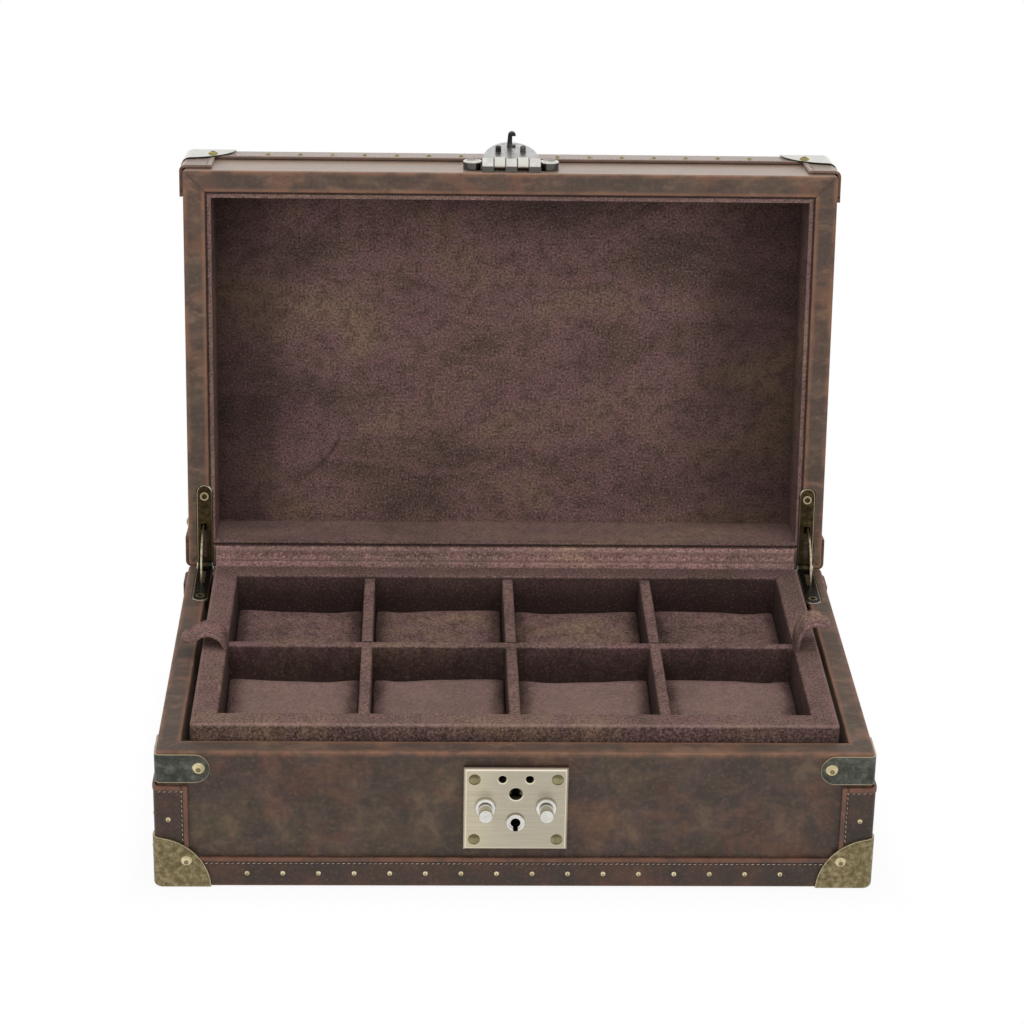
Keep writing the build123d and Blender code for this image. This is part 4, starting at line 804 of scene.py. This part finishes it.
def belt_marks(x, y, z, end):
    """The folded edges and the channel that the belt and the strips have on both halves; the
    strips end at a height where end is 1."""
    reach = (half_width - abs(x)).most(half_depth - abs(y))
    on_strip = z.rise(15.6, 16.0)
    folded = z.rise(13.1, 13.5) * z.rise(15.7, 15.5)
    folded = folded.most(end).most(reach.rise(11.5, 11.9) * on_strip)
    channel = abs(z - 12.4).rise(0.75, 0.35)
    return folded, channel.most(abs(reach - 11.2).rise(0.75, 0.35) * on_strip)


def base_trim_marks(x, y, z):
    folded, channel = belt_marks(x, y, z, z.rise(49.0, 49.5).most(z.rise(1.9, 1.2) * 0.7))
    return folded, channel, folded * 0.15


def lid_trim_marks(x, y, z):
    folded, channel = belt_marks(x, y, z, z.rise(39.6, 40.1))
    side = (half_width - abs(x)).least(half_depth - abs(y))
    on_face = z.rise(0.4, -0.4)
    folded = folded.most(side.rise(13.0, 13.4) * on_face)
    channel = channel.most(abs(side - 12.9).rise(0.75, 0.35) * on_face)
    # The third mask is the lid's front face, which gets a gloss coat and a painted reflection.
    return folded * (1 - y.rise(100.0, 100.8) * 0.7), channel, y.rise(100.8, 101.4)


trims = {"base": trim_leather("base_trim_leather", "base", base_trim_marks),
         "lid": trim_leather("lid_trim_leather", "lid", lid_trim_marks)}
places = {"base": None, "lid": lid_place}

# %% [markdown]
# ## The base's binding
# The binding goes once round the foot of the box. It could be four strips, but it is one belt
# in reality, so it is one open block: top and bottom faces deleted, upright corners rounded,
# a belt near the top pushed out as the folded edge, and then given its thickness.

# %% Base binding
leather, bead = 1.45, 0.35
trim_x, trim_y = half_width + 1.55, half_depth + 1.55
belt_top, belt_bead = 15.3, 13.1


def round_corners(piece, chosen=runs_up):
    """Rounds upright edges, as leather goes round a corner."""
    pick(piece, "EDGE", chosen)
    bpy.ops.mesh.bevel(offset=2.6 * mm, segments=4, affect="EDGES")


def raise_bead(piece, kind, chosen):
    """Pushes the chosen part of an open piece out, as a folded edge stands up."""
    pick(piece, kind, chosen)
    bpy.ops.transform.shrink_fatten(value=bead * mm)


def leather_piece(piece, node, body, edge=0.45):
    """Gives a leather piece its thickness and soft edges, and puts it on its body."""
    finish_with(piece, "SOLIDIFY", thickness=leather * mm, offset=-1)
    finish_with(piece, "BEVEL", width=edge * mm, segments=3, limit_method="ANGLE")
    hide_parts(node)
    hand_over(piece, body, trims[body], places[body])


base_binding = block("base_binding", (-trim_x, -trim_y, 0.9), (trim_x, trim_y, belt_top))
drop(base_binding, "FACE", lambda face: abs(face.normal.z) > 0.5)
round_corners(base_binding)
cut(2, belt_bead)
cut(2, belt_bead + bead)
raise_bead(base_binding, "FACE",
           lambda face: face.calc_center_median().z > (belt_bead + 0.3) * mm)
leather_piece(base_binding, "base_edge_binding", "base")

# %% [markdown]
# ## The lid's binding
# On the lid the belt also turns over the top edge and lies on the outer face. The block keeps
# its top face, which is inset by the width of the turn-over and opened in the middle.

# %% Lid binding
lid_binding = block("lid_binding", (-trim_x, -trim_y, -1.55), (trim_x, trim_y, belt_top))
drop(lid_binding, "FACE", lambda face: face.normal.z > 0.5)
pick(lid_binding, "FACE", lambda face: face.normal.z < -0.5)
for width in (14.6, bead, 1.9):
    bpy.ops.mesh.inset(thickness=width * mm)
drop(lid_binding, "FACE", lambda face: face.normal.z < -0.5 and face.calc_area() > 0.02)
round_corners(lid_binding)
cut(2, belt_bead)
cut(2, belt_bead + bead)
raise_bead(lid_binding, "VERT", lambda vert: vert.co.z > (belt_bead + 0.3) * mm or (
    abs(vert.co.x) < 146.7 * mm and abs(vert.co.y) < 87.2 * mm))
leather_piece(lid_binding, "lid_edge_binding", "lid")

# %% [markdown]
# ## Corner strips
# Each upright corner is wrapped in a strip that shows about 14 mm on both faces. A strip is the
# two outer faces of a block, rounded where they meet, with the bead pushed out along its free
# edges. The two kinds, base and lid, differ only in length, so one helper makes all eight.

# %% Corner strips
strip_foot = 15.35
inner_x, inner_y = trim_x - strip_foot, trim_y - strip_foot
front_top, rear_top, lid_strip_top = 51.3, 64.0, 42.0
corners = [(side, front) for side in (-1, 1) for front in (-1, 1)]


def corner_strip(body, side, front, top):
    """Leather round one upright corner up to a height; side and front are -1 or 1."""
    end = ("left" if side < 0 else "right") + ("_front" if front < 0 else "_rear")
    xs, ys = sorted((side * inner_x, side * trim_x)), sorted((front * inner_y, front * trim_y))
    piece = block(body + "_strip_" + end, (xs[0], ys[0], strip_foot), (xs[1], ys[1], top))
    outer = Vector((side, 0, 0)), Vector((0, front, 0))
    drop(piece, "FACE", lambda face: max(face.normal.dot(way) for way in outer) < 0.5)
    round_corners(piece, lambda edge: runs_up(edge) and abs(middle(edge).x) > half_width * mm
                  and abs(middle(edge).y) > half_depth * mm)
    for place in (1.85, 1.85 + bead):
        cut(2, top - place)
        cut(0, side * (inner_x + place))
        cut(1, front * (inner_y + place))
    raise_bead(piece, "VERT", lambda vert: vert.co.z > (top - 1.9) * mm
               or abs(vert.co.x) < (inner_x + 1.9) * mm or abs(vert.co.y) < (inner_y + 1.9) * mm)
    leather_piece(piece, body + "_corner_strips", body, 0.4)


for side, front in corners:
    corner_strip("base", side, front, front_top if front < 0 else rear_top)
    corner_strip("lid", side, front, lid_strip_top)

# %% [markdown]
# ## Stitches
# A saddle stitch shows as a short slanted bead of waxed thread. One bead is modelled from a
# six-sided ball, squeezed and flattened, and then laid along every seam at the same pitch.
# Rows that go round one belt become one piece, so that a seam is picked up as a whole.

# %% Stitches
pitch = 2.35
slant = Matrix.Rotation(math.radians(14), 4, "Z")
seam_x, seam_y, lid_face = 161.6, 102.1, -1.55
belt_seam, belt_half_x, belt_half_y = 12.4, 138.5, 79.0


def thread_finish(name, *tones):
    """Twisted thread, from its dark to its bright tone."""
    strand = Finish(name, Roughness=0.55, Specular_IOR_Level=0.4)
    spot = strand.place()
    twist = strand.cloud(spot, 1.4, 4.0, 0.7)
    strand.feed(Base_Color=strand.ramp(twist, (0.34, 0.5, 0.66), tones))
    strand.relief(strand.cells(spot, 6.0), 0.06, 0.6)
    return strand


thread = thread_finish("waxed_thread", (112, 94, 82), (166, 144, 128), (204, 184, 166))

bpy.ops.object.select_all(action="DESELECT")
bpy.ops.mesh.primitive_uv_sphere_add(segments=6, ring_count=5, radius=1)
stitch = bpy.context.object
bpy.ops.object.mode_set(mode="EDIT")
bpy.ops.mesh.select_all(action="SELECT")
bpy.ops.transform.resize(value=(0.96 * mm, 0.23 * mm, 0.27 * mm))
pick(stitch, "VERT", lambda vert: vert.co.z < 0)
bpy.ops.transform.resize(value=(1, 1, 0.3), center_override=(0, 0, 0))
close_edit()
stitch_points = [vert.co.copy() for vert in stitch.data.vertices]
stitch_faces = [tuple(face.vertices) for face in stitch.data.polygons]
bpy.data.objects.remove(stitch)


def stitch_row(start, end, outward):
    """The places of one straight seam's stitches, as matrices; lengths in millimetres."""
    start, end, outward = Vector(start), Vector(end), Vector(outward)
    along = (end - start).normalized()
    count = max(2, int((end - start).length / pitch))
    turn = Matrix((along, outward.cross(along), outward)).transposed().to_4x4() @ slant
    return [Matrix.Translation(start.lerp(end, index / count) * mm) @ turn
            for index in range(count + 1)]


def across_wall(sign, start, end):
    """A row on the front or back wall, between two (x, z) places."""
    return stitch_row(*[(x, sign * seam_y, z) for x, z in (start, end)], (0, sign, 0))


def along_side(sign, start, end):
    """A row on a side wall, between two (y, z) places."""
    return stitch_row(*[(sign * seam_x, y, z) for y, z in (start, end)], (sign, 0, 0))


def sew(name, body, rows, place=None, strand=thread):
    """One piece of thread from many stitch places."""
    points, faces = [], []
    for matrix in rows:
        first = len(points)
        points += [matrix @ point for point in stitch_points]
        faces += [tuple(first + index for index in face) for face in stitch_faces]
    mesh = bpy.data.meshes.new(name)
    mesh.from_pydata(points, [], faces)
    piece = bpy.data.objects.new(name, mesh)
    bpy.context.scene.collection.objects.link(piece)
    hand_over(piece, body, strand, place, smooth=80)


def up_the_strips(low, tops):
    """The seams of the corner strips: up beside each inner edge and across under the end."""
    rows = []
    for side, front in corners:
        top = tops[front > 0] - 2.6
        edge_x, edge_y = side * 148.8, front * 89.3
        rows += across_wall(front, (edge_x, low), (edge_x, top))
        rows += along_side(side, (edge_y, low), (edge_y, top))
        rows += across_wall(front, (edge_x, top), (side * 158.8, top))
        rows += along_side(side, (edge_y, top), (front * 99.2, top))
    return rows


round_the_belt, over_the_top = [], []
for sign in (-1, 1):
    round_the_belt += across_wall(sign, (-belt_half_x, belt_seam), (belt_half_x, belt_seam))
    round_the_belt += along_side(sign, (-belt_half_y, belt_seam), (belt_half_y, belt_seam))
    for start, end in (((-140, sign * 87.6), (140, sign * 87.6)),
                       ((sign * 147.1, -80.5), (sign * 147.1, 80.5))):
        over_the_top += stitch_row((*start, lid_face), (*end, lid_face), (0, 0, -1))
sew("base_binding_stitches", "base", round_the_belt)
sew("base_strip_stitches", "base", up_the_strips(24.5, (front_top, rear_top)))
sew("lid_binding_stitches", "lid", round_the_belt + over_the_top, lid_place)
sew("lid_strip_stitches", "lid", up_the_strips(22.5, (lid_strip_top, lid_strip_top)), lid_place)

# %% [markdown]
# ## Cushions
# Eight loose cushions fill the compartments. Each is a foam block in a suede sleeve, so its top
# is nearly flat, its edges are round, and its outline is a little wavy. The sleeve is simulated:
# a slightly smaller block is remeshed, blown up as cloth under low pressure, and no point may
# leave the compartment. Two are simulated and the rest are turned and mirrored copies.

# %% Cushions
cushion_low, cushion_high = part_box("tray_pads")
pad_floor, pad_top = cushion_low.z / mm, cushion_high.z / mm
pad_half_x, pad_half_y = 31.3, 35.68
columns, rows = (-102.41, -34.14, 34.14, 102.41), (-38.53, 38.53)


def cushion_start(name, seed):
    """The foam block before it is blown up, centred on the origin of its compartment."""
    piece = block(name, (-31.0, -35.4, pad_floor + 0.4), (31.0, 35.4, pad_top - 0.9))
    bpy.ops.mesh.select_all(action="SELECT")
    bpy.ops.mesh.bevel(offset=1.0 * mm, segments=2, affect="EDGES")
    finish_with(piece, "REMESH", mode="VOXEL", voxel_size=1.8 * mm)
    for vert in piece.data.vertices:
        wave = noise.noise(Vector((vert.co.x * 45, vert.co.y * 45, seed * 7.3)))
        push = noise.noise(Vector((vert.co.x * 30, vert.co.y * 30, seed * 3.1 + 5)))
        if vert.co.z > (pad_floor + pad_top) / 2 * mm:
            vert.co.z += (wave * 0.4 + push * 0.5) * mm
        vert.co.x *= 1 + wave * 0.006
        vert.co.y *= 1 + push * 0.006
    return piece


def blow_up(piece, pressure, cap):
    """Inflates a closed mesh as cloth, and lets no point move more than cap millimetres."""
    start = [vert.co.copy() for vert in piece.data.vertices]
    bpy.ops.object.select_all(action="DESELECT")
    piece.select_set(True)
    bpy.context.view_layer.objects.active = piece
    cloth = piece.modifiers.new("cloth", "CLOTH")
    cloth.settings.use_pressure = True
    cloth.settings.uniform_pressure_force = pressure
    cloth.settings.effector_weights.gravity = 0
    for frame_number in range(1, 21):
        bpy.context.scene.frame_set(frame_number)
    bpy.ops.object.modifier_apply(modifier=cloth.name)
    bpy.context.scene.frame_set(1)
    moved = 0.0
    low = (-pad_half_x * mm, -pad_half_y * mm, pad_floor * mm)
    high = (pad_half_x * mm, pad_half_y * mm, pad_top * mm)
    for vert, rest in zip(piece.data.vertices, start):
        step = vert.co - rest
        if step.length > cap * mm:
            step = step.normalized() * cap * mm
        vert.co = [max(least, min(most, place))
                   for least, most, place in zip(low, high, rest + step)]
        moved = max(moved, step.length / mm)
    finish_with(piece, "SUBSURF", levels=1, render_levels=1)
    print(piece.name, "moved", round(moved, 2), "mm")


sleeves = []
for seed in (1, 2):
    sleeves.append(cushion_start("cushion_sleeve_" + str(seed), seed))
    blow_up(sleeves[-1], 4.0, 1.0)


def cushion_marks(nap, spot, x, y, z):
    """Painted shade along the left and right of each cushion, beside the walls, and the lighter
    front row.
    """
    across = abs(abs(abs(x) - 68.27) - 34.14)
    sides = (across + nap.cloud(spot, 0.05, 3.0, 0.6) * 16.0).rise(29.0, 39.0)
    return sides * 0.52, (1 - sides) * (y.rise(10.0, -10.0) * 0.82 + 0.06)


cushion_suede = suede("cushion_suede", "base", (0.9, 1.5, 1.0), cushion_marks, 1.08)
for index, (x, y) in enumerate((x, y) for y in rows for x in columns):
    source = sleeves[index % 2]
    cushion = source.copy()
    cushion.data = source.data.copy()
    cushion.name = cushion.data.name = "cushion_" + str(index + 1)
    bpy.context.scene.collection.objects.link(cushion)
    flip_x, flip_y = (-1 if index % 4 > 1 else 1), (-1 if index % 2 else 1)
    flip = Matrix.Diagonal((flip_x, flip_y, 1, 1))
    cushion.data.transform(Matrix.Translation(in_base(x, y, 0)) @ flip)
    if flip_x * flip_y < 0:
        cushion.data.flip_normals()
    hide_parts("tray_pads")
    hand_over(cushion, "tray", cushion_suede, smooth=80)
for sleeve in sleeves:
    bpy.data.objects.remove(sleeve)

# %% [markdown]
# ## Pull tabs
# Two tabs of doubled suede lift the tray. Each is a strap with a round end, sewn to itself along
# its border; the left one arches over onto the leather and the right one curls up. A strap that
# bends is easiest to draw by extruding one edge along its side view, narrowing it at the tip.

# %% Pull tabs
tab_root_x, tab_middle = 135.4, -3.0
tab_width, tab_tip, tab_thickness = 16.0, 5.6, 1.9


def tab_marks(nap, spot, x, y, z):
    """The strap's pale cut border with a groove beside it, and painted shade at the foot it
    stands on.
    """
    beside = abs(y - tab_middle)
    groove = abs(beside - 6.3).rise(0.6, 0.2) * 0.4
    foot = abs(abs(x) - tab_root_x).rise(4.5, 2.0) * z.rise(81.0, 76.5) * 0.5
    return groove.most(foot), beside.rise(6.7, 7.1) * 0.25


# Tone 1.2 paints the tabs lighter than the tray suede, for the light that falls on them.
tab_suede = suede("tab_suede", "base", (1.0, 1.0, 1.6), tab_marks, 1.2)
tab_thread = thread_finish("suede_thread", (82, 64, 60), (104, 82, 76), (132, 108, 100))


def along_curve(points, steps):
    """Even steps along a smooth curve through the points."""
    dense = []
    for index in range(len(points) - 1):
        before = points[max(index - 1, 0)]
        a, b = points[index], points[index + 1]
        after = points[min(index + 2, len(points) - 1)]
        for t in [part / 20 for part in range(20)]:
            dense.append(0.5 * (
                (2 * a) + (b - before) * t + (2 * before - 5 * a + 4 * b - after) * t * t
                + (3 * a - 3 * b + after - before) * t * t * t))
    dense.append(points[-1])
    length = sum((b - a).length for a, b in zip(dense, dense[1:]))
    stops, walked, wanted = [dense[0]], 0.0, 1
    for a, b in zip(dense, dense[1:]):
        step = (b - a).length
        while wanted < steps and walked + step >= length * wanted / steps:
            stops.append(a.lerp(b, (length * wanted / steps - walked) / step))
            wanted += 1
        walked += step
    return stops + [dense[-1]], length


def extrude_by(step):
    """Extrudes the selected edge by a step in millimetres."""
    bpy.ops.mesh.extrude_edges_move(TRANSFORM_OT_translate={"value": step * mm})


def pull_tab(body, side, curve):
    """A strap that leaves the tray's rail and follows a side view (outward, up)."""
    root = Vector((side * tab_root_x, tab_middle, 75.7))
    stops, length = along_curve([root + Vector((side * out, 0, up)) for out, up in curve], 22)
    name = "pull_" + body + "_strap"

    def tip(walked, reach):
        """How far the round tip has been walked, and how wide the strap still is there."""
        short = max(0.0, walked - (length - tab_tip)) / reach
        return short, math.sqrt(max(0.0, 1 - short * short))

    piece = primitive(name, bpy.ops.mesh.primitive_plane_add, tab_width * mm, root * mm)
    drop(piece, "VERT", lambda vert: (vert.co.x / mm - root.x) * side < 0)
    pick(piece, "EDGE", lambda edge: True)
    far_edge = root + Vector((side * tab_width / 2, 0, 0))
    bpy.ops.transform.translate(value=(stops[0] - far_edge) * mm)
    walked, width = 0.0, 1.0
    for before, after in zip(stops, stops[1:]):
        extrude_by(after - before)
        walked += (after - before).length
        wanted = max(0.14, tip(walked, tab_tip)[1])
        bpy.ops.transform.resize(value=(1, wanted / width, 1), center_override=after * mm)
        width = wanted
    finish_with(piece, "SOLIDIFY", thickness=tab_thickness * mm, offset=0)
    finish_with(piece, "BEVEL", width=0.5 * mm, segments=2, limit_method="ANGLE")
    finish_with(piece, "SUBSURF", levels=1, render_levels=1)
    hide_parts("pull_" + body)
    hand_over(piece, body, tab_suede, smooth=80)
    seam = []
    for sign in (-1, 1):
        walked, last = 0.0, -9.0
        for before, after in zip(stops, stops[1:]):
            walked += (after - before).length
            short, wide = tip(walked, 4.4)
            if walked - last < 2.2 or short >= 1:
                continue
            last = walked
            along = (after - before).normalized()
            for out in (along.cross(Vector((0, way, 0))) for way in (1, -1)):
                turn = Matrix((along, out.cross(along), out)).transposed().to_4x4()
                spot = (before + after) / 2 + Vector((0, sign * wide * 6.2, 0)) + out * 0.9
                swing = -sign * math.asin(min(1.0, short)) * 0.9 * out.z
                seam.append(Matrix.Translation(spot * mm) @ turn @ Matrix.Rotation(swing, 4, "Z"))
    sew(name + "_stitches", body, seam, strand=tab_thread)
    print(name, "length", round(length, 1), "mm")


pull_tab("tab_left", -1, [(-0.8, -1.8), (0.2, 1.4), (2.6, 4.4), (7.8, 6.4), (13.5, 4.0),
                          (20.4, 1.2)])
pull_tab("tab_right", 1, [(-0.3, -1.8), (0.0, 2.2), (0.7, 6.2), (4.0, 11.6), (9.4, 12.8),
                          (15.4, 10.2)])

# %% [markdown]
# ## The gusset
# A strip of suede crosses the hinge line, glued to the lid's rim above and to the base's rim
# below, and hides the gap.

# %% Gusset
gusset_width = 292.6
base_side_view = [(89.35, 58.0), (89.35, 66.2), (90.6, 67.55), (94.0, 67.75), (97.0, 67.5)]
lid_side_view = [(-98.4, 45.75), (-97.0, 45.85), (-95.2, 45.4), (-93.4, 45.55), (-92.0, 45.85),
                 (-90.6, 45.4), (-89.6, 45.0)]
side_view = [Vector((0, y, z)) for y, z in base_side_view]
side_view += [in_lid(0, y, z) / mm for y, z in lid_side_view]
gusset_path, gusset_length = along_curve(side_view, 48)
gusset = primitive("hinge_gusset_strip", bpy.ops.mesh.primitive_plane_add, 1,
                   gusset_path[0] * mm, (gusset_width * mm, 0.001, 1))
drop(gusset, "VERT", lambda vert: vert.co.y > gusset_path[0].y * mm)
bpy.ops.mesh.select_mode(type="EDGE")
bpy.ops.mesh.select_all(action="SELECT")
for before, after in zip(gusset_path, gusset_path[1:]):
    extrude_by(after - before)
finish_with(gusset, "SOLIDIFY", thickness=0.5 * mm, offset=0)


def gusset_marks(nap, spot, x, y, z):
    """Painted highlights on the two soft folds of the strip, and painted shade in the dark lines
    above and below them.
    """
    along = y + (nap.cloud(spot, 0.02, 2.0) * 1.6 - 0.8)
    ridge_highlights = abs(along + 92.4).rise(1.9, 0.3).most(abs(along + 97.6).rise(1.9, 0.3))
    dark = (y.rise(-90.6, -89.9) * z.rise(40.0, 43.0)).most(y.rise(-98.6, -101.5) * 0.5)
    return dark, ridge_highlights * 0.7


# Tone 1.36 paints the gusset lighter than the other suede, for the light that falls on this band.
gusset_suede = suede("gusset_suede", "lid", (0.5, 1.0, 1.0), gusset_marks, 1.36)
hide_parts("hinge_gusset")
gusset_length * mm
hand_over(gusset, None, gusset_suede, smooth=60)
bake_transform(gusset)
print("gusset", gusset_width, "by", round(gusset_length, 1), "mm")

# %% [markdown]
# ## The pad under the tray
# The floor below the tray is lined with a thin padded board. It only shows when the tray is
# out: a low block with a soft rounded border and a slightly crowned top.

# %% Floor pad
pad_low, pad_high = [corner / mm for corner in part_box("base_floor_pad")]
floor_pad = block("base_floor_cushion", pad_low, pad_high)
pick(floor_pad, "FACE", lambda face: face.normal.z > 0.5)
bpy.ops.mesh.inset(thickness=2.0 * mm)
bpy.ops.mesh.inset(thickness=6.0 * mm)
pick(floor_pad, "FACE", lambda face: face.normal.z < -0.5)
bpy.ops.mesh.inset(thickness=2.0 * mm)
pick(floor_pad, "VERT", lambda vert: abs(vert.co.x) > (pad_high.x - 0.5) * mm
     and vert.co.z > (pad_high.z - 0.1) * mm)
bpy.ops.transform.translate(value=(0, 0, -0.5 * mm))
finish_with(floor_pad, "BEVEL", width=0.6 * mm, segments=3, limit_method="ANGLE")
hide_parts("base_floor_pad")
hand_over(floor_pad, "base", tray_suede, smooth=60)

# %% [markdown]
# ## Light and floor
# A studio table: a white floor, a white surround, one large soft lamp above and in front, and a
# weaker one in front. The surround only looks white to the camera and in reflections; it lights
# the case at less than half of that. The floor glows white to the camera beyond the case, and
# near the case it lets its own shading through, so that the faint contact shadow stays.

# %% Light and floor
world = bpy.data.worlds.new("white_room")
bpy.context.scene.world = world
world.use_nodes = True
sky = world.node_tree
sky.nodes.clear()


def seen_directly(tree):
    """1 for camera, mirror and glass rays, 0 for the rays that only carry light."""
    path = tree.nodes.new("ShaderNodeLightPath")
    total = path.outputs["Is Camera Ray"]
    for name in ("Is Glossy Ray", "Is Transmission Ray"):
        larger = tree.nodes.new("ShaderNodeMath")
        larger.operation = "MAXIMUM"
        tree.links.new(total, larger.inputs[0])
        tree.links.new(path.outputs[name], larger.inputs[1])
        total = larger.outputs[0]
    return total


def white(tree, kind, strength):
    """A white glow of a given strength."""
    made = tree.nodes.new(kind)
    made.inputs["Color"].default_value = (1, 1, 1, 1)
    made.inputs["Strength"].default_value = strength
    return made.outputs[0]


def blend_to(tree, output, *sockets):
    """Mixes two shaders by a share, and sends them to an output; the share comes first."""
    mixed = tree.nodes.new("ShaderNodeMixShader")
    for index, socket in enumerate(sockets):
        tree.links.new(socket, mixed.inputs[index])
    tree.links.new(mixed.outputs[0], output.inputs[0])


blend_to(sky, sky.nodes.new("ShaderNodeOutputWorld"), seen_directly(sky),
         white(sky, "ShaderNodeBackground", 0.44), white(sky, "ShaderNodeBackground", 1.0))


def soft_lamp(name, place, size, power):
    """A square soft box that faces the case; lengths in metres."""
    lamp = bpy.data.lights.new(name, "AREA")
    lamp.shape = "SQUARE"
    lamp.size = size
    lamp.energy = power
    stand = bpy.data.objects.new(name, lamp)
    bpy.context.scene.collection.objects.link(stand)
    stand.location = place
    view = Vector((0, 0, 0.1)) - Vector(place)
    stand.rotation_euler = view.to_track_quat("-Z", "Y").to_euler()
    stand.visible_glossy = False


soft_lamp("overhead_lamp", (0.1, -0.75, 1.7), 1.7, 17)
soft_lamp("front_lamp", (-0.3, -2.2, 0.8), 1.5, 9)

floor = primitive("studio_floor", bpy.ops.mesh.primitive_plane_add, 30,
                  (0, 0, cad_box[0][2] - 0.0002))
close_edit()
table_top = Finish("studio_floor", Roughness=0.7, Specular_IOR_Level=0.2)
floor_spot = table_top.place()
floor_x, floor_y, floor_z = table_top.split(floor_spot)
floor_grain = table_top.cloud(floor_spot, 0.02, 2.0)
table_top.feed(Base_Color=table_top.node("ShaderNodeMix", {"data_type": "RGBA"}, {
    0: floor_grain, 6: (0.88, 0.88, 0.88, 1), 7: (0.90, 0.90, 0.90, 1)}, output=2))
far_out = (abs(floor_x) - half_width).most(abs(floor_y) - half_depth).rise(1.0, 26.0)
share = (0.92 + far_out * 0.08) * Signal(table_top, seen_directly(table_top.tree))
blend_to(table_top.tree, table_top.tree.nodes["Material Output"], share.socket,
         table_top.shader.outputs[0], white(table_top.tree, "ShaderNodeEmission", 1.0))
floor.data.materials.append(table_top.material)
bpy.context.scene.view_settings.view_transform = "Standard"
